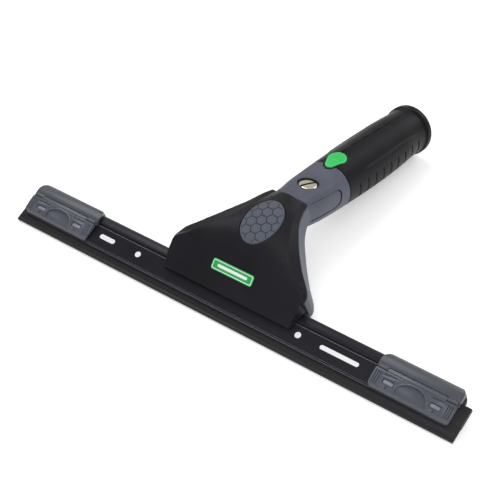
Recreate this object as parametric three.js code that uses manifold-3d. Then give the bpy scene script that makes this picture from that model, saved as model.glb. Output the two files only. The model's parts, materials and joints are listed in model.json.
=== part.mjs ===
// A window cleaning squeegee: a rubber blade in an aluminium channel with hinged end clips, held by a
// clamping head that swivels on a round handle. Millimetres, +Z up, resting on a table as it is laid down:
// the blade edge and the rim of the handle flange touch the surface at Z = 0.
//
// The head is drawn in its own plane: x along the blade, y from the blade towards the handle, z up from
// the blade. The handle is drawn from the swivel pivot: x across, y along the handle, z up from the flat
// face of the neck.
import * as THREE from 'three';
import { mergeVertices } from 'three/addons/utils/BufferGeometryUtils.js';
import Module from 'manifold-3d';

const wasm = await Module();
wasm.setup();

// ---------------------------------------------------------------- driving dimensions

const FIT = 0.35; // clearance between pieces that sit in each other
const SLIDE = 0.4; // clearance round pieces that move
const RUN = 0.1; // clearance of a pin in its hole

const BLADE = {
  length: 356, // rubber, end to end
  reach: 21.3, // working edge in front of the clip hinge line
  lip: 1.9, // thickness of the free strip
  bead: 3.5, // thickness of the strip held in the channel
  beadFront: -11.1,
  back: 2.6,
};

const CHANNEL = {
  length: BLADE.length - 12, // the rubber stands out of both ends
  offset: -1.7, // the channel is clamped a little off the middle of the blade
  front: -15.3,
  lipStep: -12.9,
  lipHalf: BLADE.bead / 2 + 0.55, // half the thickness at the front lips
  faceHalf: BLADE.bead / 2 + 1.55, // half the thickness of the flat face
  grooveY: 1.2, // fine groove in front of the round back
  back: 9.5,
};
CHANNEL.backHalf = CHANNEL.faceHalf + 0.65; // half the thickness of the round back

const CLIP = {
  length: 57.6,
  overhang: 1.2, // how far a clip stands past the channel's end
  wall: 2,
  knuckle: 1.4,
  pin: 0.55,
  lidFront: CHANNEL.front + 1.2,
  lidThick: 2.2,
  under: -9, // front edge of the lip under the channel
};
CLIP.innerEnd = CHANNEL.length / 2 + CLIP.overhang - CLIP.length;
CLIP.hingeZ = CHANNEL.backHalf + CLIP.knuckle;
CLIP.top = CLIP.hingeZ + CLIP.knuckle;

const HEAD = {
  offset: -1.2, // middle of the head from the middle of the blade
  front: -5.6,
  rear: 76,
  skin: 2.4,
  wall: 2.8,
  lowerFront: -5,
};

// The head's tongue between the fork's two sides, and its half width where it leaves the head.
const TAIL = { radius: 24, half: 14.6 };

const PIVOT = {
  y: 70.7 + TAIL.radius, // from the clip hinge line, in the head's plane
  z: 0.1,
  bend: 32.65, // degrees between the head's plane and the handle
  recess: 7.45,
  recessDepth: 1.9,
  head: 6.7,
  shank: 3.5,
  washer: 7.2,
  washerThick: 0.8,
  bush: 5.2,
};

const NECK = {
  front: 0.2 - TAIL.radius, // where the neck begins, before its end is rounded
  frontRadius: TAIL.radius - 0.8,
  headRadius: TAIL.radius + 0.2, // the head stays outside this circle round the pivot
  slotTop: -4.4,
  slotBottom: -18,
  spigotEnd: 64,
};

const GRIP = {
  start: TAIL.radius + 0.8, // where the rubber begins on the top of the handle
  startSlope: 0.128, // how far it leans back for each millimetre down
  length: 137.3, // pivot to the end of the flange
  axis: -9.8, // handle axis below the flat face of the neck
  sleeve: 2.3,
  core: 2.8, // wall of the core tube
  flangeRadius: 19.1,
  flangeThick: 4.8,
};
NECK.spigotInset = GRIP.sleeve + GRIP.core + 0.3;

const POLE = { mouth: 12.2, throat: 10.7, depth: 43, wall: 1.6 };

const BUTTON = {
  y: TAIL.radius + 10.6, // middle of the wide end
  wide: 6.6,
  tipY: TAIL.radius + 2.2, // middle of the narrow end
  tip: 3.6,
  bezel: 1.1,
  proud: 0.7,
  depth: 4.4,
  travel: 2.5,
  stemY: TAIL.radius + 8,
  stemHalf: 1.8, // half the stem's length along the handle
  stemSide: 1.5, // half its width
  springWire: 0.5,
};
BUTTON.springRadius = BUTTON.stemHalf + BUTTON.springWire + 1.2;

const BOLT = {
  width: 7,
  top: -8.6,
  bottom: -13.6,
  end: TAIL.radius + 22,
  tip: TAIL.radius + FIT, // the bolt stands clear of the tail's rim
  notch: TAIL.radius + FIT - BUTTON.travel - 0.65, // floor of the notches in the rim
  spacing: 30, // degrees between the notches
};

// Hinge of the upper jaw, in handle coordinates: radius of its knuckles and pin, half widths of its parts,
// and the degrees it opens.
const HINGE = { y: -TAIL.radius - 4, z: -2.8, radius: 2.2, pin: 1, lug: 3.2, reach: 7, heel: 6.5, open: 6 };

const NUT = { seat: -24, thick: 3.2, radius: 5.6, recess: 6.6, cap: 2.2 };

const CROSS_PIN = { y: 55, z: GRIP.axis - 2.3, radius: 1.5 };

const PAD = { y: 47, half: 13.1, long: 18.2, depth: 1.4, proud: 0.7 };

const BADGE = { y: 9, length: 33, height: 7.6, thick: 0.7 };

const LINER = { length: 84, from: -3.6, to: 0.4, thick: 1.2 };

const UPPER_LINER = { low: CHANNEL.faceHalf + 0.2 + FIT + 0.2, high: CHANNEL.faceHalf + 1.9, back: -1.2 };

// The leaf spring starts and bends at these places and ends short of the jaw hinge.
const LEAF = { from: 40, bend: 54, short: 2.4, drop: 5.25, thick: 0.6, half: 2.8, screw: 1.2, screwAt: 3.5 };

// Half widths, heights and bevels of the head, each at a distance behind the clip hinge line.
const HEAD_WIDTH = [
  [-5.6, 51.7], [8, 53.8], [15, 53.8], [19, 52],
  [30, 41.7], [45, 29.6], [60, 20.1], [76, 14.5],
];
const HEAD_CROWN = [
  [-5.6, 7.7], [6, 13.2], [16, 18.2], [24, 21], [36, 22.8],
  [50, 23], [60, 21.6], [68, 18.6], [76, 14.6],
];
const HEAD_SHOULDER = [
  [-5.6, 7.2], [13, 16], [20, 19.4], [30, 20.6],
  [45, 19.3], [60, 17], [66, 15], [76, 10.2],
];
const HEAD_BEVEL = [
  [-5.6, 1.2], [12, 1.5], [20, 9.2], [30, 9],
  [45, 7.2], [60, 4.9], [76, 3.8],
];
const HEAD_SEAM = [
  [11.8, 11.2], [19, 13], [24, 15.6], [30, 16.8], [40, 17.5],
  [50, 16.9], [60, 15.1], [68, 12.6], [76, 8.4],
];
const HEAD_UNDER = [
  [-5, -6.4], [0, -7.2], [12, -8.4], [24, -8.6],
  [45, -5.4], [58, -2.6], [66, -2.2], [76, -6],
];

// Radius of the handle and how far its middle drops below the handle axis, along the handle.
const HANDLE_RADIUS = [
  [-40, 15.5], [-18, 15.7], [0, 17.4], [30, 18.5],
  [72, 19.2], [104, 18.75], [122, 18], [140, 18],
];
const HANDLE_DROP = [
  [-40, 3], [10, 3], [30, 2.8], [56, 2.35],
  [88, 1.6], [122, 0], [140, 0],
];
const NECK_FLAT = [
  [-40, 0], [10, 0], [22, 3.2],
  [32, 6.6], [40, 9], [140, 9],
];

const COLOUR = {
  slate: [0x50535f, 0.5, 0],
  smoke: [0x565a66, 0.35, 0],
  black: [0x1b1b1e, 0.5, 0],
  rubber: [0x141416, 0.8, 0],
  anodised: [0x17181c, 0.35, 0.6],
  green: [0x35b95e, 0.45, 0],
  nickel: [0xd8cfba, 0.25, 1],
  steel: [0xa8abb0, 0.35, 1],
  bronze: [0xa27a45, 0.4, 1],
};

// ---------------------------------------------------------------- shape helpers

/** Smooth curve through a few [place, value] points, without overshoot. */
function through(points, place) {
  const last = points.length - 1;
  if (place <= points[0][0]) return points[0][1];
  if (place >= points[last][0]) return points[last][1];
  const k = points.findIndex(([at]) => at > place) - 1;
  const step = (i) => (points[i + 1][1] - points[i][1]) / (points[i + 1][0] - points[i][0]);
  const slope = (i) => {
    if (i === 0) return step(0);
    if (i === last) return step(last - 1);
    const before = step(i - 1);
    const after = step(i);
    return before * after <= 0 ? 0 : (2 * before * after) / (before + after);
  };
  const span = points[k + 1][0] - points[k][0];
  const t = (place - points[k][0]) / span;
  const rise = t * t * (3 - 2 * t);
  return points[k][1] * (1 - rise) + points[k + 1][1] * rise
    + span * (slope(k) * t * (1 - t) ** 2 - slope(k + 1) * t * t * (1 - t));
}

/** A solid from a closed geometry, moved by a matrix. */
function solid(geometry, matrix = new THREE.Matrix4()) {
  const bare = new THREE.BufferGeometry();
  bare.setAttribute('position', geometry.getAttribute('position').clone());
  if (geometry.index) bare.setIndex(geometry.index.clone());
  const merged = mergeVertices(bare.applyMatrix4(matrix), 1e-4);
  return new wasm.Manifold(new wasm.Mesh({
    numProp: 3,
    vertProperties: new Float32Array(merged.getAttribute('position').array),
    triVerts: new Uint32Array(merged.index.array),
  }));
}

/** The geometry of a solid, flat shaded. */
function geometryOf(shape) {
  const mesh = shape.getMesh();
  const geometry = new THREE.BufferGeometry();
  geometry.setAttribute('position', new THREE.BufferAttribute(new Float32Array(mesh.vertProperties), 3));
  geometry.setIndex(new THREE.BufferAttribute(new Uint32Array(mesh.triVerts), 1));
  const flat = geometry.toNonIndexed();
  flat.computeVertexNormals();
  return flat;
}

const move = (x, y, z) => new THREE.Matrix4().makeTranslation(x, y, z);
const UP = new THREE.Matrix4();
const ALONG_X = new THREE.Matrix4().makeBasis(
  new THREE.Vector3(0, 1, 0), new THREE.Vector3(0, 0, 1), new THREE.Vector3(1, 0, 0));
const ALONG_Y = new THREE.Matrix4().makeBasis(
  new THREE.Vector3(0, 0, 1), new THREE.Vector3(1, 0, 0), new THREE.Vector3(0, 1, 0));

/** A flat outline pushed from one place to another along an axis. */
function prism(shape, from, to, axis = UP, curveSegments = 10) {
  const geometry = new THREE.ExtrudeGeometry(shape, { depth: to - from, bevelEnabled: false, curveSegments });
  return solid(geometry, axis.clone().multiply(move(0, 0, from)));
}

/** A round bar along z, or along another axis, centred on a point of the cross plane. */
function rod(radius, from, to, { axis = UP, at = [0, 0], end = radius, sides = 32 } = {}) {
  const geometry = new THREE.CylinderGeometry(end, radius, to - from, sides);
  geometry.rotateX(Math.PI / 2);
  return solid(geometry, axis.clone().multiply(move(at[0], at[1], (from + to) / 2)));
}

/** A box from its lowest to its highest corner. */
function block(low, high) {
  const size = high.map((value, i) => value - low[i]);
  const middle = high.map((value, i) => (value + low[i]) / 2);
  return solid(new THREE.BoxGeometry(...size), move(...middle));
}

/** An outline through straight corners. */
function polygon(corners) {
  return new THREE.Shape(corners.map(([x, y]) => new THREE.Vector2(x, y)));
}

/** A closed skin over rings that all have the same number of points, capped at both ends. */
function loft(rings) {
  const count = rings[0].length;
  const middles = [rings[0], rings[rings.length - 1]].map((ring) => ring
    .reduce((sum, point) => sum.add(point), new THREE.Vector3()).divideScalar(count));
  const points = [...rings.flat(), ...middles];
  const foot = rings.length * count;
  const top = (rings.length - 1) * count;
  const index = [];
  for (let i = 0; i < count; i += 1) {
    const j = (i + 1) % count;
    for (let r = 0; r < rings.length - 1; r += 1) {
      const a = r * count;
      index.push(a + i, a + j, a + count + j, a + i, a + count + j, a + count + i);
    }
    index.push(foot, j, i, foot + 1, top + i, top + j);
  }
  const geometry = new THREE.BufferGeometry().setFromPoints(points);
  geometry.setIndex(index);
  return solid(geometry);
}

/** Evenly spaced places, both ends included. */
function places(from, to, steps) {
  return Array.from({ length: steps + 1 }, (_, i) => from + ((to - from) * i) / steps);
}

/** A named mesh of a solid in one of the finishes. */
function piece(name, shape, finish) {
  const [color, roughness, metalness] = COLOUR[finish];
  const material = new THREE.MeshStandardMaterial({ color, roughness, metalness });
  const mesh = new THREE.Mesh(geometryOf(shape), material);
  mesh.name = name;
  return mesh;
}

// ---------------------------------------------------------------- blade and channel

function bladeSection() {
  const lip = BLADE.lip / 2;
  const bead = BLADE.bead / 2;
  return polygon([
    [-BLADE.reach, -lip], [BLADE.beadFront, -lip], [BLADE.beadFront, -bead], [BLADE.back, -bead],
    [BLADE.back, bead], [BLADE.beadFront, bead], [BLADE.beadFront, lip], [-BLADE.reach, lip],
  ]);
}

function makeBlade() {
  return prism(bladeSection(), -BLADE.length / 2, BLADE.length / 2, ALONG_X);
}

/** The channel's outer half outline from the front lip to the round back, grown by a clearance. */
function channelOuter(grow = 0) {
  const c = CHANNEL;
  const round = places(90, 0, 7).map((angle) => {
    const turn = THREE.MathUtils.degToRad(angle);
    const start = c.grooveY + 1.6;
    return [start + (c.back + grow - start) * Math.cos(turn), (c.backHalf + grow) * Math.sin(turn)];
  });
  return [
    [c.front - grow, c.lipHalf + grow],
    [c.lipStep, c.lipHalf + grow],
    [c.lipStep + 0.5, c.faceHalf + grow],
    [c.grooveY - 0.4, c.faceHalf + grow + 0.2],
    [c.grooveY, c.faceHalf + grow - 0.1],
    [c.grooveY + 0.5, c.backHalf + grow - 0.15],
    ...round,
  ];
}

/** Both halves of the channel's outline as one closed shape. */
function channelShape(grow = 0) {
  const upper = channelOuter(grow);
  const lower = upper.slice(0, -1).reverse().map(([y, z]) => [y, -z]);
  return polygon([...upper, ...lower].reverse());
}

function makeChannel() {
  const c = CHANNEL;
  const lip = BLADE.lip / 2 + FIT;
  const bead = BLADE.bead / 2 + FIT;
  const step = BLADE.beadFront - FIT;
  const back = BLADE.back + FIT;
  const slot = polygon([
    [c.front - 1, -lip], [step, -lip], [step, -bead], [back, -bead],
    [back, bead], [step, bead], [step, lip], [c.front - 1, lip],
  ]);
  const half = c.length / 2;
  return prism(channelShape(), c.offset - half, c.offset + half, ALONG_X)
    .subtract(prism(slot, c.offset - half - 1, c.offset + half + 1, ALONG_X));
}

// ---------------------------------------------------------------- end clips

/** The clip body's wrap round the back of the channel, as seen along the channel. */
function clipBodySection() {
  const inner = channelOuter(FIT).slice(5);
  const outer = channelOuter(FIT + CLIP.wall).slice(5);
  const under = -(CHANNEL.faceHalf + FIT);
  const foot = under - CLIP.wall + 0.5;
  return polygon([
    ...outer.map(([y, z]) => [y, z]),
    ...outer.slice(1, -1).reverse().map(([y, z]) => [y, -z + (y < 8 ? 0.3 : 0)]),
    [CLIP.under, foot], [CLIP.under - 1, foot + 0.7], [CLIP.under - 1, under],
    [CHANNEL.grooveY - 0.4, under - 0.2],
    ...inner.map(([y, z]) => [y, -z]),
    ...inner.slice(0, -1).reverse().map(([y, z]) => [y, z]),
  ].reverse());
}

/** Knuckle places of a clip hinge: body knuckles at the ends, the lid's long one between them. */
function clipKnuckles() {
  const first = [CLIP.overhang, 8];
  const second = first.map((x) => CLIP.length - x).reverse();
  return { body: [first, second], lid: [[first[1] + SLIDE, second[0] - SLIDE]] };
}

/** Bars round the hinge line at the given places along the clip. */
function hingeBars(spans, radius) {
  const at = [0, CLIP.hingeZ];
  const bars = spans.map(([from, to]) => rod(radius, from, to, { axis: ALONG_X, at, sides: 16 }));
  return bars.reduce((all, bar) => all.add(bar));
}

function makeClipBody() {
  const knuckles = clipKnuckles();
  const webs = knuckles.body
    .map(([from, to]) => block([from, 0, CLIP.hingeZ - 0.9], [to, CHANNEL.grooveY + 1.8, CLIP.hingeZ + 1]))
    .reduce((all, web) => all.add(web));
  const [[lidFrom, lidTo]] = knuckles.lid;
  const lidRoom = hingeBars([[lidFrom - SLIDE, lidTo + SLIDE]], CLIP.knuckle + SLIDE);
  const wrap = prism(clipBodySection(), 0, CLIP.length, ALONG_X);
  return wrap.add(webs).add(hingeBars(knuckles.body, CLIP.knuckle)).subtract(lidRoom)
    .subtract(hingeBars([[-1, CLIP.length + 1]], CLIP.pin + RUN))
    .subtract(prism(channelShape(FIT), -1, CLIP.length + 1, ALONG_X));
}

/** The lid's section: a flat plate with a turned down front edge that hooks over the channel lip. */
function clipLidSection() {
  const { top, lidFront: front } = CLIP;
  const frontTop = CHANNEL.lipHalf + FIT + CLIP.lidThick - 0.6;
  const under = CHANNEL.faceHalf + FIT + 0.1;
  return polygon([
    [0, top - 0.1], [-5, top - 0.2], [front + 3.6, top - 1], [front + 0.9, frontTop], [front, frontTop - 1.2],
    [front, CHANNEL.lipHalf + FIT], [CHANNEL.lipStep, CHANNEL.lipHalf + FIT],
    [CHANNEL.lipStep + 0.4, under], [-0.9, under], [-0.5, CLIP.hingeZ - 0.8], [0, CLIP.hingeZ - 0.8],
  ]);
}

/** Thumb recess, windows, end strips and end ribs of a lid, which is the same from both ends. */
function lidCuts() {
  const { top } = CLIP;
  const middle = CLIP.length / 2;
  const front = CLIP.lidFront + 1.9;
  const dishHalf = 9;
  const dish = new THREE.Shape();
  dish.moveTo(middle - dishHalf, front);
  dish.lineTo(middle + dishHalf, front);
  dish.quadraticCurveTo(middle + dishHalf - 1, front + 8.8, middle, front + 9);
  dish.quadraticCurveTo(middle - dishHalf + 1, front + 8.8, middle - dishHalf, front);
  const cuts = [prism(dish, top - 1.5, top + 3)];
  for (const side of [-1, 1]) {
    const groove = middle + side * (dishHalf + 1.8);
    const window = middle + side * (dishHalf + 7.5);
    const rib = middle + side * (CLIP.length / 2 - 3.8);
    cuts.push(block([groove - 0.4, front - 0.4, top - 1.3], [groove + 0.4, -3, top + 2]));
    cuts.push(block([window - 4, front + 3.2, 0], [window + 4, front + 6, top + 3]));
    cuts.push(block([rib - 2.4, -4.9, top - 1.4], [rib + 2.4, -4.1, top + 2]));
    cuts.push(block([rib - 2.4, -10.9, top - 2.4], [rib + 2.4, -10.1, top + 2]));
  }
  return cuts.reduce((all, cut) => all.add(cut));
}

function makeClipLid() {
  const { body, lid } = clipKnuckles();
  const plate = prism(clipLidSection(), 0.2, CLIP.length - 0.2, ALONG_X);
  const [first, second] = body;
  const back = -CLIP.knuckle - SLIDE;
  const gaps = block([-1, back, 0], [first[1] + SLIDE, 3, 9])
    .add(block([second[0] - SLIDE, back, 0], [CLIP.length + 1, 3, 9]));
  return plate.subtract(gaps).add(hingeBars(lid, CLIP.knuckle))
    .subtract(hingeBars([[-1, CLIP.length + 1]], CLIP.pin + RUN)).subtract(lidCuts());
}

function makeClipPin() {
  const [[first], [, last]] = clipKnuckles().body;
  return hingeBars([[first + 0.3, last - 0.3]], CLIP.pin);
}

/** One end clip in its own place; side is -1 for the left end and 1 for the right end. */
function makeClip(side) {
  const word = side < 0 ? 'left' : 'right';
  const group = new THREE.Group();
  const start = side < 0 ? -CLIP.innerEnd - CLIP.length : CLIP.innerEnd;
  group.position.x = CHANNEL.offset + start;
  group.add(piece(`clip_body_${word}`, makeClipBody(), 'smoke'));
  group.add(piece(`clip_lid_${word}`, makeClipLid(), 'smoke'));
  group.add(piece(`clip_pin_${word}`, makeClipPin(), 'steel'));
  return group;
}

// ---------------------------------------------------------------- head

const DEG = THREE.MathUtils.degToRad(1);
const BEND = PIVOT.bend * DEG;

/** Takes handle coordinates to head coordinates. */
const HANDLE_IN_HEAD = move(0, PIVOT.y, PIVOT.z).multiply(new THREE.Matrix4().makeRotationX(-BEND));

/** A point given along the handle, in the head's own plane. */
function headPoint(y, z) {
  const point = new THREE.Vector3(0, y, z).applyMatrix4(HANDLE_IN_HEAD);
  return [point.y, point.z];
}

/** Place of the jaw hinge, and of the leaf spring's tip under the heel of the jaw's lug. */
const [JAW_HINGE_Y, JAW_HINGE_Z] = headPoint(HINGE.y, HINGE.z);
const LEAF_TIP = { y: JAW_HINGE_Y - LEAF.short, z: JAW_HINGE_Z - LEAF.drop };

/** A solid drawn in handle coordinates, placed in the head. */
const inHead = (shape) => shape.transform([...HANDLE_IN_HEAD.elements]);

/** Height of the joint line between the two jaws. */
function seamAt(y) {
  const overChannel = CHANNEL.backHalf + FIT;
  return y < SEAM_STEP ? overChannel : through(HEAD_SEAM, y);
}

/** Distances at which the joint line is drawn on both jaws, and where it steps down to the channel. */
const SEAM_STEP = CHANNEL.back + 0.9;
const SEAM_PLACES = [SEAM_STEP + 1.4, 13.5, 15, 17, 19, 20.5, 22, ...places(24, HEAD.rear, 13)];

/** One cross section of the upper jaw; inset shrinks it for the hollow inside. */
function jawRing(y, inset) {
  const width = through(HEAD_WIDTH, y) - inset;
  const shoulderX = width - through(HEAD_BEVEL, y);
  const shoulder = through(HEAD_SHOULDER, y) - inset;
  const crown = through(HEAD_CROWN, y) - inset;
  const seam = seamAt(y) - (inset > 0 ? 1.5 : 0);
  const edge = Math.min(seam + 1.3, shoulder - 0.2);
  const top = places(-1, 1, 8).map((u) => [u * shoulderX, shoulder + (crown - shoulder) * (1 - u * u)]);
  const section = [[width, seam], [-width, seam], [-width, edge], ...top, [width, edge]];
  return section.map(([x, z]) => new THREE.Vector3(x, y, z));
}

function upperJawShell() {
  const outer = loft([...places(HEAD.front, SEAM_STEP - 0.2, 5), ...SEAM_PLACES].map((y) => jawRing(y, 0)));
  const hollow = loft(places(20, 62, 8).map((y) => jawRing(y, HEAD.skin)));
  return outer.subtract(hollow);
}

/** Bars along x on the jaw hinge line. */
function jawHingeBars(from, to, radius) {
  return rod(radius, from, to, { axis: ALONG_X, at: [JAW_HINGE_Y, JAW_HINGE_Z], sides: 20 });
}

/** Room or material below a stretch of the jaw hinge. */
function hingeBlock(from, to, half, depth) {
  return block([from, JAW_HINGE_Y - half, JAW_HINGE_Z - depth], [to, JAW_HINGE_Y + half, JAW_HINGE_Z]);
}

function padShape(grow = 0) {
  const shape = new THREE.Shape();
  shape.absellipse(0, 0, PAD.half + grow, PAD.long + grow, 0, Math.PI * 2, false, 0);
  return shape;
}

function makeUpperJaw() {
  const knuckleRoom = (from, to) => jawHingeBars(from, to, HINGE.radius + 0.5)
    .add(hingeBlock(from, to, HINGE.radius + 0.5, 9));
  const lug = jawHingeBars(-HINGE.lug, HINGE.lug, HINGE.radius)
    .add(hingeBlock(-HINGE.lug, HINGE.lug, 1.6, HINGE.heel));
  const padSeat = prism(padShape(0.3), 0, 40, UP, 12).translate(0, PAD.y, 0).subtract(raisedJaw(-PAD.depth));
  const outerCircle = inHead(rod(NECK.headRadius, -60, 60, { sides: 64 }));
  return upperJawShell()
    .subtract(knuckleRoom(-HINGE.reach - 0.5, -HINGE.lug - 0.1))
    .subtract(knuckleRoom(HINGE.lug + 0.1, HINGE.reach + 0.5))
    .add(lug)
    .subtract(jawHingeBars(-HINGE.reach - 1, HINGE.reach + 1, HINGE.pin + RUN))
    .subtract(padSeat)
    .subtract(upperLinerRoom())
    .subtract(outerCircle);
}

/** The jaw's body about the pad, raised by a height. */
function raisedJaw(height) {
  return loft(places(24, 70, 10).map((y) => jawRing(y, 0))).translate(0, 0, height);
}

/** The soft pad for the thumb, crowned with the jaw's top and lying in its seat. */
function makeThumbPad() {
  return prism(padShape(), 0, 40, UP, 12).translate(0, PAD.y, 0)
    .intersect(raisedJaw(PAD.proud)).subtract(raisedJaw(0.2 - PAD.depth));
}

/** A plain label on the slope behind the jaw's front edge. */
function makeBadge() {
  const b = BADGE;
  const rise = Math.atan2(jawTop(b.y + 3) - jawTop(b.y - 3), 6);
  const place = move(0, b.y, jawTop(b.y) + 0.35).multiply(new THREE.Matrix4().makeRotationX(rise));
  return prism(labelShape(b.length, b.height, 1.6), 0, b.thick, place);
}

/** Height of the upper jaw along its middle. */
const jawTop = (y) => through(HEAD_CROWN, y);

/** A rectangle with rounded corners about the origin. */
function labelShape(length, height, corner) {
  const x = length / 2 - corner;
  const y = height / 2 - corner;
  const shape = new THREE.Shape();
  shape.absarc(x, y, corner, 0, Math.PI / 2);
  shape.absarc(-x, y, corner, Math.PI / 2, Math.PI);
  shape.absarc(-x, -y, corner, Math.PI, Math.PI * 1.5);
  shape.absarc(x, -y, corner, Math.PI * 1.5, Math.PI * 2);
  return shape;
}

/** The head's outline seen square to its plane, shrunk by an inset, between two distances. */
function planShape(inset, from, to) {
  const right = places(from, to, 18).map((y) => [through(HEAD_WIDTH, y) - inset, y]);
  const left = right.slice().reverse().map(([x, y]) => [-x, y]);
  return polygon([...right, ...left]);
}

/** How far the open jaw's rear end dips below the joint line, behind its hinge. */
const heelRoom = (y) => Math.max(0, y - JAW_HINGE_Y) * Math.tan((HINGE.open + 1) * DEG);

/** The lower jaw's section seen along the blade: floor, then back along the joint line. */
function lowerSection(inset, from, to) {
  const floor = places(from, to, 16).map((y) => [y, through(HEAD_UNDER, y) + inset]);
  if (inset > 0) return polygon([...floor, [to, 60], [from, 60]]);
  const lid = SEAM_PLACES.map((y) => [y, seamAt(y) - FIT - heelRoom(y)]).reverse();
  const riserY = SEAM_PLACES[0] + FIT + 0.1;
  lid[lid.length - 1][0] = riserY;
  return polygon([...floor, ...lid, [riserY, 3], [riserY - 1.6, -4.3], [from, -4.3]]);
}

/** Everything above the joint line between the jaws. */
function aboveSeam() {
  const line = SEAM_PLACES.map((y) => [y, seamAt(y) - FIT]);
  return prism(polygon([...line, [HEAD.rear, 60], [SEAM_PLACES[0], 60]]), -60, 60, ALONG_X);
}

/** Outer skin of the round handle between two places, shrunk by an inset. */
function handleBody(from, to, inset, { steps = 12, flatTop = true, sides = 32 } = {}) {
  const rings = places(from, to, steps).map((y) => {
    const radius = through(HANDLE_RADIUS, y) - inset;
    const middle = GRIP.axis - through(HANDLE_DROP, y);
    const flat = through(NECK_FLAT, y) - inset - middle;
    return places(0, sides - 1, sides - 1).map((k) => {
      const angle = (k / sides) * Math.PI * 2;
      const up = Math.sin(angle);
      const reach = flatTop && up > 0.02 ? (radius ** -18 + (flat / up) ** -18) ** (-1 / 18) : radius;
      return new THREE.Vector3(reach * Math.cos(angle), y, middle + reach * up);
    });
  });
  return loft(rings.reverse());
}

/** The swivel tail: a tongue that fills the fork and ends in a round rim. */
function makeTail() {
  const [low, high] = [NECK.slotBottom + 0.3, NECK.slotTop - 0.3];
  const slab = rod(TAIL.radius, low, high, { sides: 64 })
    .add(block([-TAIL.half, -TAIL.radius - 7.5, low], [TAIL.half, -10, high]));
  const washerRoom = (from, to) => rod(PIVOT.washer + FIT, from, to, { sides: 40 });
  const side = BOLT.width / 2 + SLIDE;
  const notch = block([-side, BOLT.notch, BOLT.bottom - SLIDE], [side, TAIL.radius + 6, BOLT.top + SLIDE]);
  const notches = [0, BOLT.spacing, -BOLT.spacing].map((angle) => notch.rotate(0, 0, angle))
    .reduce((all, cut) => all.add(cut));
  return handleBody(-TAIL.radius - 14, TAIL.radius + 6, 0.45)
    .intersect(slab)
    .subtract(rod(PIVOT.bush + RUN, -40, 10))
    .subtract(washerRoom(NECK.slotTop - PIVOT.washerThick - FIT, 0))
    .subtract(washerRoom(-40, NECK.slotBottom + PIVOT.washerThick + FIT))
    .subtract(notches);
}

function makeLowerJaw() {
  const outer = prism(planShape(0, HEAD.lowerFront, HEAD.rear), -60, 60)
    .intersect(prism(lowerSection(0, HEAD.lowerFront, HEAD.rear), -70, 70, ALONG_X));
  const hollow = prism(planShape(HEAD.wall, 15, 60), -60, 60)
    .intersect(prism(lowerSection(HEAD.skin, 15, 60), -70, 70, ALONG_X));
  const channelRoom = prism(channelShape(FIT), -70, 70, ALONG_X);
  const knuckles = [-1, 1].map((side) => {
    const [from, to] = side < 0 ? [-HINGE.reach, -HINGE.lug - 0.6] : [HINGE.lug + 0.6, HINGE.reach];
    return jawHingeBars(from, to, HINGE.radius).add(hingeBlock(from, to, HINGE.radius, 9));
  }).reduce((all, knuckle) => all.add(knuckle));
  const lugSide = HINGE.lug + SLIDE;
  const lugRoom = block([-lugSide, 50, JAW_HINGE_Z - HINGE.heel - 1.2], [lugSide, JAW_HINGE_Y + 3.4, 30])
    .add(block([-lugSide, 50, through(HEAD_UNDER, LEAF_TIP.y) + HEAD.skin], [lugSide, LEAF_TIP.y + 0.8, 30]));
  const across = HINGE.reach + 1;
  const lugSlot = (depth) => block(
    [-across, JAW_HINGE_Y - 3.6, JAW_HINGE_Z - depth], [across, JAW_HINGE_Y + 8, 40]);
  return outer
    .subtract(hollow)
    .subtract(inHead(rod(NECK.headRadius, -60, 60, { sides: 64 })))
    .subtract(lugSlot(3.2))
    .add(inHead(makeTail()).subtract(aboveSeam()))
    .subtract(lugSlot(2))
    .add(knuckles)
    .subtract(lugRoom)
    .subtract(jawHingeBars(-60, 60, HINGE.pin + RUN))
    .subtract(channelRoom)
    .subtract(linerRoom())
    .subtract(screwHole());
}

/** Where the lower rubber liner lies, below the channel. */
function linerBlock(grow) {
  const top = -CHANNEL.faceHalf - FIT + grow;
  return block([-LINER.length / 2 - grow, LINER.from - grow, top - LINER.thick - 2 * grow],
    [LINER.length / 2 + grow, LINER.to + grow, top]);
}

const linerRoom = () => linerBlock(0.3).add(linerBlock(0.3).translate(0, 0, 1));

const makeLowerLiner = () => linerBlock(-0.15);

/** Liner under the upper jaw's lip, above the channel's flat face, or the room it lies in. */
function upperLinerBlock(grow, drop) {
  const u = UPPER_LINER;
  const side = LINER.length / 2 + grow;
  return block([-side, HEAD.front + 1.4 - grow, u.low - drop], [side, u.back + grow, u.high + grow]);
}

const makeUpperLiner = () => upperLinerBlock(0, 0);

const upperLinerRoom = () => upperLinerBlock(0.3, 2);

function makeJawHingePin() {
  return jawHingeBars(-HINGE.reach + 0.3, HINGE.reach - 0.3, HINGE.pin);
}

/** Spring steel strip that bears on the heel of the jaw's lug and keeps the jaw shut. */
function makeLeafSpring() {
  const s = LEAF;
  const floor = (y) => through(HEAD_UNDER, y) + HEAD.skin + 0.3;
  const shape = polygon([
    [s.from, floor(s.from)], [s.bend, floor(s.bend)], [LEAF_TIP.y, LEAF_TIP.z],
    [LEAF_TIP.y, LEAF_TIP.z + s.thick * 1.4],
    [s.bend - 0.6, floor(s.bend) + s.thick], [s.from, floor(s.from) + s.thick],
  ]);
  const hole = rod(s.screw + RUN, -20, 20, { sides: 16 }).translate(0, s.from + s.screwAt, 0);
  return prism(shape, -s.half, s.half, ALONG_X).subtract(hole);
}

/** The hole for the leaf spring's screw, open below the jaw. */
const screwHole = () => rod(LEAF.screw + RUN, -20, 0, { sides: 16 })
  .translate(0, LEAF.from + LEAF.screwAt, 0);

function makeLeafScrew() {
  const y = LEAF.from + LEAF.screwAt;
  const seat = through(HEAD_UNDER, y + 2.5) + HEAD.skin + LEAF.thick + 0.7;
  return rod(LEAF.screw, seat - 5.2, seat + 0.6, { sides: 16 }).add(rod(2.3, seat, seat + 1.3, { sides: 20 }))
    .translate(0, y, 0);
}

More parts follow.
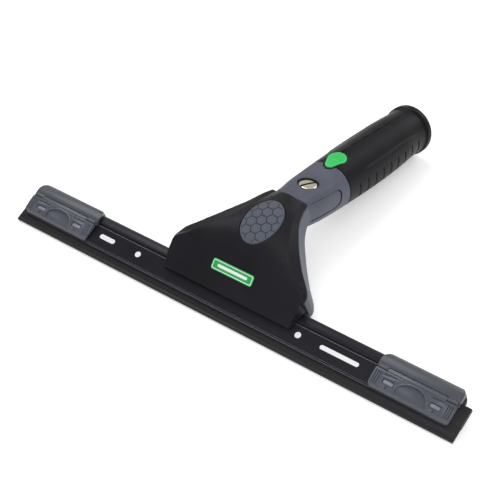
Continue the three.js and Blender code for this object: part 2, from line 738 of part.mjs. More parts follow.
// ---------------------------------------------------------------- neck and pivot

/** A wide block on one side of the plane where the rubber grip begins. */
function beforeGrip(gap, before) {
  const lean = Math.atan(GRIP.startSlope);
  const size = before ? [-60, -120, -90, 60, 0, 60] : [-60, 0, -90, 60, 220, 60];
  return block(size.slice(0, 3), size.slice(3))
    .rotate(THREE.MathUtils.radToDeg(lean), 0, 0)
    .translate(0, GRIP.start + gap + 0.5, 4);
}

/** Egg outline of the button, narrow end towards the pivot. */
function eggShape(grow = 0) {
  const b = BUTTON;
  const gap = b.y - b.tipY;
  const lean = Math.asin((b.wide - b.tip) / gap);
  const shape = new THREE.Shape();
  shape.absarc(0, b.y, b.wide + grow, -lean, Math.PI + lean, false);
  shape.absarc(0, b.tipY, b.tip + grow, Math.PI + lean, Math.PI * 2 - lean, false);
  return shape;
}

const buttonUnder = () => topOfHandle(BUTTON.y) + BUTTON.proud - BUTTON.depth;

/** Height of the handle's upper line at a place along it. */
function topOfHandle(y) {
  const round = GRIP.axis - through(HANDLE_DROP, y) + through(HANDLE_RADIUS, y);
  return Math.min(round, through(NECK_FLAT, y));
}

const SPRING_SHELF = 2.2; // the shelf the button spring stands on, above the bolt

/** Everything cut away for the button, its spring, its stem and the bolt. */
function lockRoom() {
  const b = BUTTON;
  const floor = buttonUnder() - b.travel - 0.5;
  const well = prism(eggShape(b.bezel + 0.3), floor, 30);
  const springWell = rod(b.springRadius + b.springWire + 0.5, BOLT.top + SPRING_SHELF, floor + 1)
    .translate(0, b.stemY, 0);
  const stemSide = b.stemSide + 0.6;
  const stemRoom = block([-stemSide, b.stemY - b.stemHalf - 0.6, BOLT.bottom - 6.6],
    [stemSide, b.stemY + 12.5, BOLT.top + 3]);
  const boltRoom = block([-BOLT.width / 2 - SLIDE, 0, BOLT.bottom - SLIDE],
    [BOLT.width / 2 + SLIDE, BOLT.end + 1, BOLT.top + SLIDE]);
  return well.add(springWell).add(stemRoom).add(boltRoom);
}

function makeNeck() {
  const spigot = handleBody(14, NECK.spigotEnd, NECK.spigotInset, { steps: 6, flatTop: false, sides: 28 })
    .intersect(handleBody(10, 70, 0.5, { steps: 10, sides: 28 }));
  const shell = handleBody(NECK.front, 40, 0, { steps: 14 }).intersect(beforeGrip(-0.15, true)).add(spigot);
  const front = rod(NECK.frontRadius, -60, 60, { sides: 64 }).add(block([-60, 0, -60], [60, 120, 60]));
  const fork = rod(TAIL.radius + 0.6, NECK.slotBottom, NECK.slotTop, { sides: 64 });
  const pivotRoom = rod(PIVOT.recess, -PIVOT.recessDepth, 5, { sides: 48 })
    .add(rod(PIVOT.shank + RUN, -60, 10))
    .add(rod(NUT.recess, -60, NUT.seat, { sides: 40 }));
  return shell.intersect(front).subtract(fork).subtract(pivotRoom)
    .subtract(lockRoom()).subtract(crossPinHole());
}

/** A bar across the handle at the pin that holds the neck in the core. */
function crossBar(radius, half) {
  return rod(radius, -half, half, { axis: ALONG_X, at: [CROSS_PIN.y, CROSS_PIN.z], sides: 20 });
}

const crossPinHole = () => crossBar(CROSS_PIN.radius + RUN, 40);

/** The pin ends 1.8 mm inside the core's outside. */
const makeCrossPin = () => crossBar(
  CROSS_PIN.radius, through(HANDLE_RADIUS, CROSS_PIN.y) - GRIP.sleeve - 1.8);

function makePivotBolt() {
  const top = -0.5;
  const seat = -PIVOT.recessDepth + 0.3;
  const crown = rod(PIVOT.head, seat, top - 0.5, { sides: 48 })
    .add(rod(PIVOT.head, top - 0.5, top, { end: PIVOT.head - 0.7, sides: 48 }));
  const slit = block([-9, -0.8, top - 0.9], [9, 0.8, 2]).rotate(0, 0, 24);
  return crown.subtract(slit).add(rod(PIVOT.shank, NUT.seat - NUT.thick + 0.6, seat + 0.3, { sides: 32 }));
}

/** Six sided nut on the end of the pivot bolt. */
function makePivotNut() {
  return rod(NUT.radius, NUT.seat - 0.3 - NUT.thick, NUT.seat - 0.3, { sides: 6 })
    .subtract(rod(PIVOT.shank + RUN, -60, 0));
}

/** Cap that closes the recess under the nut. */
function makePivotCap() {
  const low = NUT.seat - NUT.thick - NUT.cap - 0.9;
  return rod(NUT.recess - 0.3, low, low + NUT.cap, { sides: 40 });
}

function makeWasher(top) {
  return rod(PIVOT.washer, top - PIVOT.washerThick, top, { sides: 40 })
    .subtract(rod(PIVOT.shank + RUN, -60, 10));
}

function makeBush() {
  const top = NECK.slotTop - PIVOT.washerThick - 0.7;
  const bottom = NECK.slotBottom + PIVOT.washerThick + 0.7;
  return rod(PIVOT.bush, bottom, top).subtract(rod(PIVOT.shank + RUN, -60, 10));
}

// ---------------------------------------------------------------- grip

/** Bore of the core tube: snug round the neck's spigot, then narrower, then the pole socket. */
function coreBore() {
  return handleBody(0, NECK.spigotEnd + 1.5, NECK.spigotInset - 0.35, { steps: 6, flatTop: false, sides: 28 })
    .add(rod(POLE.throat - 0.4, NECK.spigotEnd + 1, GRIP.length + 20, { axis: ALONG_Y, at: [GRIP.axis, 0] }))
    .add(poleTaper(POLE.wall + FIT));
}

/** The tapered socket's solid, grown by a wall. */
function poleTaper(grow) {
  const from = GRIP.length - POLE.depth - (grow > 0 ? 1 : 2);
  return rod(POLE.throat + grow, from, GRIP.length + (grow > 0 ? 0.01 : 1),
    { axis: ALONG_Y, at: [GRIP.axis, 0], end: POLE.mouth + grow, sides: 40 });
}

function makeCore() {
  return handleBody(GRIP.start, GRIP.length - 1.6, GRIP.sleeve + 0.3, { steps: 9, flatTop: false, sides: 28 })
    .intersect(beforeGrip(0.3, false))
    .subtract(coreBore()).subtract(lockRoom()).subtract(crossPinHole());
}

/** Round flange at the end of the grip. */
function flange() {
  const from = GRIP.length - GRIP.flangeThick;
  const ends = [[from - 3.5, -1.1], [from, 0], [GRIP.length - 1, 0], [GRIP.length, -0.9]];
  const spine = ends.map(([y, grow]) => new THREE.Vector2(GRIP.flangeRadius + grow, y));
  const profile = [new THREE.Vector2(0, ends[0][0]), ...spine, new THREE.Vector2(0, GRIP.length)];
  return solid(new THREE.LatheGeometry(profile, 48), move(0, 0, GRIP.axis));
}

function makeSleeve() {
  const inner = handleBody(0, GRIP.length - 1.3, GRIP.sleeve, { steps: 11, flatTop: false, sides: 28 });
  const mouth = rod(POLE.mouth + POLE.wall + FIT, GRIP.length - 30, GRIP.length + 20,
    { axis: ALONG_Y, at: [GRIP.axis, 0], sides: 40 });
  return handleBody(15, GRIP.length - 2, 0, { steps: 16 }).add(flange())
    .intersect(beforeGrip(0.15, false))
    .subtract(inner).subtract(mouth)
    .subtract(prism(eggShape(BUTTON.bezel + 0.3), -6, 30));
}

function makePoleInsert() {
  return poleTaper(POLE.wall).subtract(poleTaper(0));
}

// ---------------------------------------------------------------- lock button and bolt

function makeBezel() {
  const floor = buttonUnder() - 0.8;
  return prism(eggShape(BUTTON.bezel), floor, 20)
    .subtract(prism(eggShape(SLIDE - 0.1), floor - 1, 21))
    .intersect(handleBody(10, 60, -0.25, { steps: 12 }));
}

/** Height where the stem begins to slant, above the bolt even when the button is down. */
const STEM_KNEE = BOLT.top + BUTTON.travel + 0.3;

/** The lock button: an egg-shaped cap and a stem that slants through the bolt. */
function makeButton() {
  const b = BUTTON;
  const cap = prism(eggShape(), buttonUnder(), 20).intersect(handleBody(10, 60, -b.proud, { steps: 12 }));
  const low = BOLT.bottom - 1.2;
  const shift = STEM_KNEE - low;
  const front = b.stemY - b.stemHalf;
  const back = b.stemY + b.stemHalf;
  const stem = polygon([
    [front, buttonUnder() + 0.5], [front, STEM_KNEE], [front + shift, low], [back + shift, low],
    [back, STEM_KNEE], [back, buttonUnder() + 0.5],
  ].reverse());
  return cap.add(prism(stem, -b.stemSide, b.stemSide, ALONG_X));
}

function makeBolt() {
  const b = BUTTON;
  const cut = SLIDE * Math.SQRT2;
  const reach = 12;
  const front = b.stemY - b.stemHalf - cut;
  const back = b.stemY + b.stemHalf + cut;
  const top = STEM_KNEE + 4;
  const low = STEM_KNEE - reach;
  const slot = polygon([
    [front - 4, top], [front + reach, low], [back + reach, low], [back - 4, top],
  ].reverse());
  return block([-BOLT.width / 2, BOLT.tip, BOLT.bottom], [BOLT.width / 2, BOLT.end - 1, BOLT.top])
    .subtract(prism(slot, -b.stemSide - SLIDE, b.stemSide + SLIDE, ALONG_X));
}

/** Coil that lifts the button, wound round its stem. */
function makeButtonSpring() {
  const b = BUTTON;
  const low = BOLT.top + SPRING_SHELF + b.springWire + 0.2;
  const high = buttonUnder() - b.springWire - 0.2;
  const turns = 4;
  class Coil extends THREE.Curve {
    getPoint(t, target = new THREE.Vector3()) {
      const angle = t * turns * Math.PI * 2;
      const y = b.stemY + b.springRadius * Math.sin(angle);
      return target.set(b.springRadius * Math.cos(angle), y, low + (high - low) * t);
    }
  }
  const wire = new THREE.Shape();
  wire.absarc(0, 0, b.springWire, 0, Math.PI * 2);
  const options = { steps: turns * 10, extrudePath: new Coil(), curveSegments: 3, bevelEnabled: false };
  return solid(new THREE.ExtrudeGeometry(wire, options));
}

// ---------------------------------------------------------------- assembly

/** The head lies pitched up so that the blade edge and the flange rim both touch the table. */
function restPitch() {
  const rim = new THREE.Vector3(0, GRIP.length - 1, GRIP.axis - GRIP.flangeRadius)
    .applyMatrix4(HANDLE_IN_HEAD);
  return Math.atan2(-BLADE.lip / 2 - rim.z, rim.y + BLADE.reach);
}

function makeHead() {
  const group = new THREE.Group();
  group.position.x = HEAD.offset;
  group.add(piece('lower_jaw', makeLowerJaw(), 'slate'));
  group.add(piece('upper_jaw', makeUpperJaw(), 'black'));
  group.add(piece('thumb_pad', makeThumbPad(), 'slate'));
  group.add(piece('badge', makeBadge(), 'green'));
  group.add(piece('lower_liner', makeLowerLiner(), 'rubber'));
  group.add(piece('upper_liner', makeUpperLiner(), 'rubber'));
  group.add(piece('jaw_hinge_pin', makeJawHingePin(), 'steel'));
  group.add(piece('jaw_leaf_spring', makeLeafSpring(), 'steel'));
  group.add(piece('leaf_spring_screw', makeLeafScrew(), 'steel'));
  group.add(makeHandle());
  return group;
}

function makeHandle() {
  const group = new THREE.Group();
  group.position.set(0, PIVOT.y, PIVOT.z);
  group.rotation.x = -BEND;
  group.add(piece('pivot_bush', makeBush(), 'bronze'));
  group.add(piece('neck_fork', makeNeck(), 'slate'));
  group.add(piece('pivot_bolt', makePivotBolt(), 'nickel'));
  group.add(piece('pivot_washer_upper', makeWasher(NECK.slotTop - 0.15), 'steel'));
  group.add(piece('pivot_washer_lower', makeWasher(NECK.slotBottom + PIVOT.washerThick + 0.15), 'steel'));
  group.add(piece('pivot_nut', makePivotNut(), 'steel'));
  group.add(piece('pivot_cap', makePivotCap(), 'black'));
  group.add(piece('neck_cross_pin', makeCrossPin(), 'steel'));
  group.add(piece('handle_core', makeCore(), 'black'));
  group.add(piece('grip_sleeve', makeSleeve(), 'rubber'));
  group.add(piece('pole_insert', makePoleInsert(), 'black'));
  group.add(piece('button_bezel', makeBezel(), 'black'));
  group.add(piece('lock_button', makeButton(), 'green'));
  group.add(piece('button_spring', makeButtonSpring(), 'steel'));
  group.add(piece('lock_bolt', makeBolt(), 'steel'));
  return group;
}

function makeSqueegee() {
  const whole = new THREE.Group();
  const pitched = new THREE.Group();
  pitched.rotation.x = restPitch();
  pitched.add(piece('blade', makeBlade(), 'rubber'));
  pitched.add(piece('channel', makeChannel(), 'anodised'));
  pitched.add(makeClip(-1));
  pitched.add(makeClip(1));
  pitched.add(makeHead());
  whole.add(pitched);
  whole.updateMatrixWorld(true);
  const box = new THREE.Box3().setFromObject(whole, true);
  pitched.position.set(0, -(box.min.y + box.max.y) / 2, -box.min.z);
  return whole;
}

export default makeSqueegee();
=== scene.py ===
"""Looks for a window cleaning squeegee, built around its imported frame.

The head is drawn in its own plane: x along the blade, y from the blade towards the handle, z up from
the blade. The handle is drawn from the swivel: x across, y along the handle, z up from the flat face of
the neck. Both work in millimetres, and an `Axes` object takes them to the frame's metres.
"""
import json
import logging
import math
from dataclasses import dataclass, field
from enum import Enum
from typing import Callable, Iterable, Sequence

import bmesh
import bpy
from mathutils import Matrix, Vector

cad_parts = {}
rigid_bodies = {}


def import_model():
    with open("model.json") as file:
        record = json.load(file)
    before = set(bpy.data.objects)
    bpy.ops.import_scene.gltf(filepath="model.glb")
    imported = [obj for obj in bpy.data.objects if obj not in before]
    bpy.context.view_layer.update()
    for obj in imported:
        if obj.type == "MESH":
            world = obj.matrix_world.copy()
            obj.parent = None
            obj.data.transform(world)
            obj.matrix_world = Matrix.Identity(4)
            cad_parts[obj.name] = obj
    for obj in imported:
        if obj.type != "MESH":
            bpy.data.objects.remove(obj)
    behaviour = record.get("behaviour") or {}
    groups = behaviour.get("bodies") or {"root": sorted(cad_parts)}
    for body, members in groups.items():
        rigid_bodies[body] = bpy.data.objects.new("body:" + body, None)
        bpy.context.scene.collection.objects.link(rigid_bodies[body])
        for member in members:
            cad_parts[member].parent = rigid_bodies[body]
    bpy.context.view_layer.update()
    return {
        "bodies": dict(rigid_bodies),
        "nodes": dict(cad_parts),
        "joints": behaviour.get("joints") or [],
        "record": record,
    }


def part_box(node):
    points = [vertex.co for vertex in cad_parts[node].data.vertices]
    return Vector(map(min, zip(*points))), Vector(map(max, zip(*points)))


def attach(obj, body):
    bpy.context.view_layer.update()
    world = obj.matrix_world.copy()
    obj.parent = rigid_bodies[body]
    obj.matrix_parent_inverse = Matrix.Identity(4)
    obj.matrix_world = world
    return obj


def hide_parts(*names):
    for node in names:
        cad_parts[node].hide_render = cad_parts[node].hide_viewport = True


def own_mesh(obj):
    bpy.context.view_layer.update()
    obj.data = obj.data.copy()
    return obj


LOG = logging.getLogger("squeegee")
MM = 0.001
Point = tuple[float, float, float]
Flat = tuple[float, float]
Curve = Sequence[Flat]


# ------------------------------------------------------------------ finishes


def tone(red: int, green: int, blue: int) -> tuple[float, float, float, float]:
    """Gives the linear colour of a screen colour.

    Args:
        red: Red, 0 to 255.
        green: Green, 0 to 255.
        blue: Blue, 0 to 255.

    Returns:
        The linear red, green, blue and alpha.
    """
    linear = [((c / 255 + 0.055) / 1.055) ** 2.4 if c > 10 else c / 3295 for c in (red, green, blue)]
    return (linear[0], linear[1], linear[2], 1.0)


class Grain(Enum):
    """The directions in which a surface's fine grain runs."""

    EVEN = (1.0, 1.0, 1.0)
    ALONG_BLADE = (0.02, 1.0, 1.0)


@dataclass(frozen=True)
class Finish:
    """A surface finish: its colour, gloss, grain, and its raised edges lightened for wear and as a painted
    highlight.

    Attributes:
        name: Name of the material.
        colour: Screen colour, three numbers from 0 to 255.
        roughness: Middle of the roughness.
        spread: How far the roughness wanders either way.
        metal: 1 for bare metal, 0 for plastic and rubber.
        grain: Size of the fine grain, in millimetres.
        depth: Depth of the fine grain, in millimetres.
        direction: Which way the grain runs.
        clouds: How strongly the colour varies in broad patches.
        edge_wear_and_highlight: How strongly the raised edges show a lighter colour, partly real wear and
            partly a painted highlight where sharp edges catch the light.
        edge_wear_and_highlight_tint: How many times lighter those raised edges are.
        speck: How strongly the fine grain shows in the colour.
        coat: Strength of a clear coat.
        through: Share of light that passes through.
        index: Index of refraction.
        shine: Strength of the mirror-like part, 0.5 for plain plastic.
        mask: Point attribute that shows the mask colour where it is 1; every mask here is painted shade.
        mask_colour: Screen colour of the masked part.
    """

    name: str
    colour: tuple[int, int, int]
    roughness: float = 0.5
    spread: float = 0.08
    metal: float = 0.0
    grain: float = 0.5
    depth: float = 0.02
    direction: Grain = Grain.EVEN
    clouds: float = 0.12
    edge_wear_and_highlight: float = 0.25
    edge_wear_and_highlight_tint: float = 2.4
    speck: float = 0.12
    coat: float = 0.0
    through: float = 0.0
    index: float = 1.46
    shine: float = 0.28
    mask: str = ""
    mask_colour: tuple[int, int, int] = (0, 0, 0)

    def build(self) -> bpy.types.Material:
        """Makes the material, or finds the one already made.

        Returns:
            The material.
        """
        if self.name in bpy.data.materials:
            return bpy.data.materials[self.name]
        material = bpy.data.materials.new(self.name)
        material.use_nodes = True
        tree = material.node_tree
        shader = tree.nodes["Principled BSDF"]
        shader.inputs["Metallic"].default_value = self.metal
        shader.inputs["IOR"].default_value = self.index
        shader.inputs["Specular IOR Level"].default_value = self.shine
        shader.inputs["Coat Weight"].default_value = self.coat
        shader.inputs["Coat Roughness"].default_value = 0.2
        shader.inputs["Transmission Weight"].default_value = self.through
        place = tree.nodes.new("ShaderNodeTexCoord").outputs["Object"]
        fine = self._noise(tree, self._stretched(tree, place), 1 / (self.grain * MM), 3.0)
        broad = self._noise(tree, place, 22.0, 2.0)
        tree.links.new(self._colour(tree, fine, broad), shader.inputs["Base Color"])
        tree.links.new(self._gloss(tree, fine, broad), shader.inputs["Roughness"])
        bump = tree.nodes.new("ShaderNodeBump")
        bump.inputs["Strength"].default_value = 1.0
        bump.inputs["Distance"].default_value = self.depth * MM
        tree.links.new(fine, bump.inputs["Height"])
        tree.links.new(bump.outputs["Normal"], shader.inputs["Normal"])
        return material

    def _stretched(self, tree: bpy.types.NodeTree, place: bpy.types.NodeSocket) -> bpy.types.NodeSocket:
        """Stretches the places along the grain.

        Args:
            tree: Node tree of the material.
            place: Socket with the places on the surface.

        Returns:
            Socket with the stretched places.
        """
        mapping = tree.nodes.new("ShaderNodeMapping")
        mapping.inputs["Scale"].default_value = self.direction.value
        tree.links.new(place, mapping.inputs["Vector"])
        return mapping.outputs["Vector"]

    @staticmethod
    def _noise(
        tree: bpy.types.NodeTree, place: bpy.types.NodeSocket, scale: float, detail: float
    ) -> bpy.types.NodeSocket:
        """Adds a noise texture.

        Args:
            tree: Node tree of the material.
            place: Socket with the places on the surface.
            scale: Cells in a metre.
            detail: How many finer layers it has.

        Returns:
            Socket with the noise.
        """
        noise = tree.nodes.new("ShaderNodeTexNoise")
        noise.inputs["Scale"].default_value = scale
        noise.inputs["Detail"].default_value = detail
        tree.links.new(place, noise.inputs["Vector"])
        return noise.outputs["Fac"]

    @staticmethod
    def _mix(
        tree: bpy.types.NodeTree,
        factor: bpy.types.NodeSocket,
        first: bpy.types.NodeSocket | tuple[float, ...],
        second: bpy.types.NodeSocket | tuple[float, ...],
    ) -> bpy.types.NodeSocket:
        """Mixes two colours.

        Args:
            tree: Node tree of the material.
            factor: Socket with the share of the second colour.
            first: Socket or colour shown at 0.
            second: Socket or colour shown at 1.

        Returns:
            Socket with the mixed colour.
        """
        mix = tree.nodes.new("ShaderNodeMix")
        mix.data_type = "RGBA"
        tree.links.new(factor, mix.inputs["Factor"])
        for side, colour in (("A", first), ("B", second)):
            socket = next(s for s in mix.inputs if s.name == side and s.type == "RGBA")
            if isinstance(colour, tuple):
                socket.default_value = colour
            else:
                tree.links.new(colour, socket)
        return next(s for s in mix.outputs if s.type == "RGBA")

    @staticmethod
    def _range(
        tree: bpy.types.NodeTree, value: bpy.types.NodeSocket, span: Flat, result: Flat
    ) -> bpy.types.NodeSocket:
        """Maps a value from one range to another.

        Args:
            tree: Node tree of the material.
            value: Socket with the value.
            span: Lowest and highest value read.
            result: Values given for them.

        Returns:
            Socket with the result.
        """
        node = tree.nodes.new("ShaderNodeMapRange")
        node.inputs["From Min"].default_value = span[0]
        node.inputs["From Max"].default_value = span[1]
        node.inputs["To Min"].default_value = result[0]
        node.inputs["To Max"].default_value = result[1]
        tree.links.new(value, node.inputs["Value"])
        return node.outputs["Result"]

    def _colour(
        self, tree: bpy.types.NodeTree, fine: bpy.types.NodeSocket, broad: bpy.types.NodeSocket
    ) -> bpy.types.NodeSocket:
        """Builds the colour: broad clouds, fine specks, edges lightened for wear and as a painted highlight,
        and any masked part, where shade is painted in.

        Args:
            tree: Node tree of the material.
            fine: Socket with the fine grain.
            broad: Socket with the broad clouds.

        Returns:
            Socket with the colour.
        """
        base = tone(*self.colour)

        def shade(by: float) -> tuple[float, float, float, float]:
            """Gives the base colour made lighter or darker."""
            return (min(base[0] * by, 1.0), min(base[1] * by, 1.0), min(base[2] * by, 1.0), 1.0)

        cloud = self._range(tree, broad, (0.35, 0.65), (0.0, 1.0))
        colour = self._mix(tree, cloud, shade(1 - self.clouds), shade(1 + self.clouds))
        speck = self._range(tree, fine, (0.4, 0.75), (0.0, self.speck))
        colour = self._mix(tree, speck, colour, shade(1.9))
        # Raised edges are lightened: partly wear, partly a painted highlight where sharp edges catch the
        # light.
        edge = tree.nodes.new("ShaderNodeNewGeometry").outputs["Pointiness"]
        worn_and_lit_edges = self._range(tree, edge, (0.53, 0.63), (0.0, self.edge_wear_and_highlight))
        colour = self._mix(tree, worn_and_lit_edges, colour, shade(self.edge_wear_and_highlight_tint))
        # The mask paints shade in: grooves, recesses, and the bolt's slit and sides.
        if self.mask:
            attribute = tree.nodes.new("ShaderNodeAttribute")
            attribute.attribute_name = self.mask
            colour = self._mix(tree, attribute.outputs["Fac"], colour, tone(*self.mask_colour))
        return colour

    def _gloss(
        self, tree: bpy.types.NodeTree, fine: bpy.types.NodeSocket, broad: bpy.types.NodeSocket
    ) -> bpy.types.NodeSocket:
        """Builds the roughness from the grain and the clouds.

        Args:
            tree: Node tree of the material.
            fine: Socket with the fine grain.
            broad: Socket with the broad clouds.

        Returns:
            Socket with the roughness.
        """
        total = tree.nodes.new("ShaderNodeMath")
        total.operation = "ADD"
        tree.links.new(fine, total.inputs[0])
        tree.links.new(broad, total.inputs[1])
        low, high = self.roughness - self.spread, self.roughness + self.spread
        return self._range(tree, total.outputs["Value"], (0.75, 1.25), (low, high))


# The jaw's strong edge lightening is mostly a painted highlight along its edges.
JAW_BLACK = Finish(
    "jaw_black_plastic", (25, 25, 30), 0.42, 0.07, grain=0.35, depth=0.03, edge_wear_and_highlight=0.7, edge_wear_and_highlight_tint=4.0, shine=0.17,
    speck=0.25, clouds=0.18,
)
SLATE = Finish("slate_plastic", (80, 83, 95), 0.48, 0.07, grain=0.4, depth=0.03, edge_wear_and_highlight=0.25, clouds=0.05)
# The neck's recess mask paints dark shade into the recess round the swivel bolt.
NECK_SLATE = Finish(
    "slate_plastic_neck", (80, 83, 95), 0.48, 0.07, grain=0.4, depth=0.03, clouds=0.05,
    mask="recess", mask_colour=(16, 15, 15),
)
# The pad's groove mask paints shade into the grooves between the cells and round the pad's outline.
PAD_SLATE = Finish(
    "soft_pad_slate", (82, 86, 97), 0.6, 0.07, grain=0.3, depth=0.03, clouds=0.05,
    mask="groove", mask_colour=(52, 55, 64),
)
CLIP_SMOKE = Finish(
    "smoke_plastic", (78, 81, 89), 0.34, 0.06, grain=0.5, depth=0.006, edge_wear_and_highlight=0.3, speck=0.03, clouds=0.05,
    through=0.1, coat=0.1,
)
LID_SMOKE = Finish(
    "clear_smoke_plastic", (86, 89, 99), 0.2, 0.05, grain=2.0, depth=0.012, edge_wear_and_highlight=0.35, speck=0.03,
    through=0.2, coat=0.2, clouds=0.1,
)
WINDOW_SMOKE = Finish(
    "pale_smoke_plastic", (128, 132, 142), 0.25, 0.06, grain=0.6, depth=0.004, edge_wear_and_highlight=0.1, speck=0.03, coat=0.2
)
ANODISED = Finish(
    "black_anodised", (25, 25, 31), 0.36, 0.08, metal=0.2, grain=0.25, depth=0.006,
    direction=Grain.ALONG_BLADE, edge_wear_and_highlight=0.6, speck=0.2,
)
RIDGE_LINE_METAL = Finish(
    "ridge_line_anodised", (96, 97, 104), 0.34, 0.08, metal=0.5, grain=0.2, depth=0.003,
    direction=Grain.ALONG_BLADE, edge_wear_and_highlight=0.3, speck=0.3,
)
BLADE_RUBBER = Finish(
    "blade_rubber", (30, 30, 32), 0.5, 0.08, grain=0.3, depth=0.01, direction=Grain.ALONG_BLADE, edge_wear_and_highlight=0.3
)
# The grip's groove mask paints near-black shade into the seam, the ribs and the ring by the flange; its
# strong edge lightening is mostly a painted highlight.
GRIP_RUBBER = Finish(
    "grip_rubber", (14, 14, 18), 0.44, 0.07, grain=0.3, depth=0.03, edge_wear_and_highlight=0.8, edge_wear_and_highlight_tint=6.0,
    clouds=0.15, shine=0.15, mask="groove", mask_colour=(3, 3, 4),
)
LINER_RUBBER = Finish("liner_rubber", (20, 20, 22), 0.75, 0.08, grain=0.3, depth=0.03)
PLAIN_BLACK = Finish("plain_black_plastic", (20, 20, 22), 0.45, 0.06, grain=0.4, depth=0.02)
BUTTON_GREEN = Finish(
    "button_green", (46, 190, 92), 0.4, 0.06, grain=0.4, depth=0.015, clouds=0.05, speck=0.05
)
LABEL_GREEN = Finish("label_green", (38, 160, 78), 0.38, 0.05, grain=0.3, depth=0.008, clouds=0.05)
PRINT_WHITE = Finish("print_white", (226, 228, 228), 0.5, 0.06, grain=0.2, depth=0.004, clouds=0.03)
NICKEL = Finish(
    "nickel_plate", (240, 232, 212), 0.2, 0.06, metal=1.0, grain=0.3, depth=0.006, edge_wear_and_highlight=0.1, clouds=0.06,
    mask="shadow", mask_colour=(46, 40, 32),
)
STEEL = Finish("bright_steel", (170, 172, 176), 0.32, 0.08, metal=1.0, grain=0.25, depth=0.008, edge_wear_and_highlight=0.1)
BRONZE = Finish("sintered_bronze", (160, 122, 70), 0.45, 0.08, metal=1.0, grain=0.2, depth=0.02)


# ------------------------------------------------------------------ mesh making


def through(points: Curve, place: float) -> float:
    """Reads a smooth curve through a few points, without overshoot.

    Args:
        points: Places and values, in order of place.
        place: Where to read it.

    Returns:
        The value there.
    """
    if place <= points[0][0]:
        return points[0][1]
    if place >= points[-1][0]:
        return points[-1][1]
    last = len(points) - 1
    k = next(i for i, (at, _) in enumerate(points) if at > place) - 1

    def step(i: int) -> float:
        """Gives the slope of one stretch."""
        return (points[i + 1][1] - points[i][1]) / (points[i + 1][0] - points[i][0])

    def slope(i: int) -> float:
        """Gives the slope of the curve at one of its points."""
        if i == 0:
            return step(0)
        if i == last:
            return step(last - 1)
        before, after = step(i - 1), step(i)
        return 0.0 if before * after <= 0 else 2 * before * after / (before + after)

    span = points[k + 1][0] - points[k][0]
    t = (place - points[k][0]) / span
    rise = t * t * (3 - 2 * t)
    bend = slope(k) * t * (1 - t) ** 2 - slope(k + 1) * t * t * (1 - t)
    return points[k][1] * (1 - rise) + points[k + 1][1] * rise + span * bend


def spread(low: float, high: float, steps: int) -> list[float]:
    """Lists evenly spaced values, both ends included."""
    return [low + (high - low) * i / steps for i in range(steps + 1)]


def smooth_step(low: float, high: float, value: float) -> float:
    """Rises from 0 to 1 as the value goes from low to high."""
    t = min(1.0, max(0.0, (value - low) / (high - low)))
    return t * t * (3 - 2 * t)


def arc(centre: Flat, radius: float, start: float, end: float, steps: int) -> list[Flat]:
    """Lists points on an arc.

    Args:
        centre: Middle of the arc.
        radius: Its radius.
        start: First angle, in degrees.
        end: Last angle, in degrees.
        steps: How many stretches it has.

    Returns:
        The points.
    """
    turns = [math.radians(a) for a in spread(start, end, steps)]
    return [(centre[0] + radius * math.cos(t), centre[1] + radius * math.sin(t)) for t in turns]


def round_rectangle(low: Flat, high: Flat, corners: Sequence[float]) -> list[Flat]:
    """Draws a rectangle with round corners.

    Args:
        low: Lowest corner.
        high: Highest corner.
        corners: Radii at high-high, low-high, low-low and high-low.

    Returns:
        The outline.
    """
    (x0, y0), (x1, y1) = low, high
    a, b, c, d = corners
    return (
        arc((x1 - a, y1 - a), a, 0, 90, 8) + arc((x0 + b, y1 - b), b, 90, 180, 8)
        + arc((x0 + c, y0 + c), c, 180, 270, 8) + arc((x1 - d, y0 + d), d, 270, 360, 8)
    )


class Along(Enum):
    """Axis along which a flat outline is pushed."""

    X = "x"
    Y = "y"
    Z = "z"


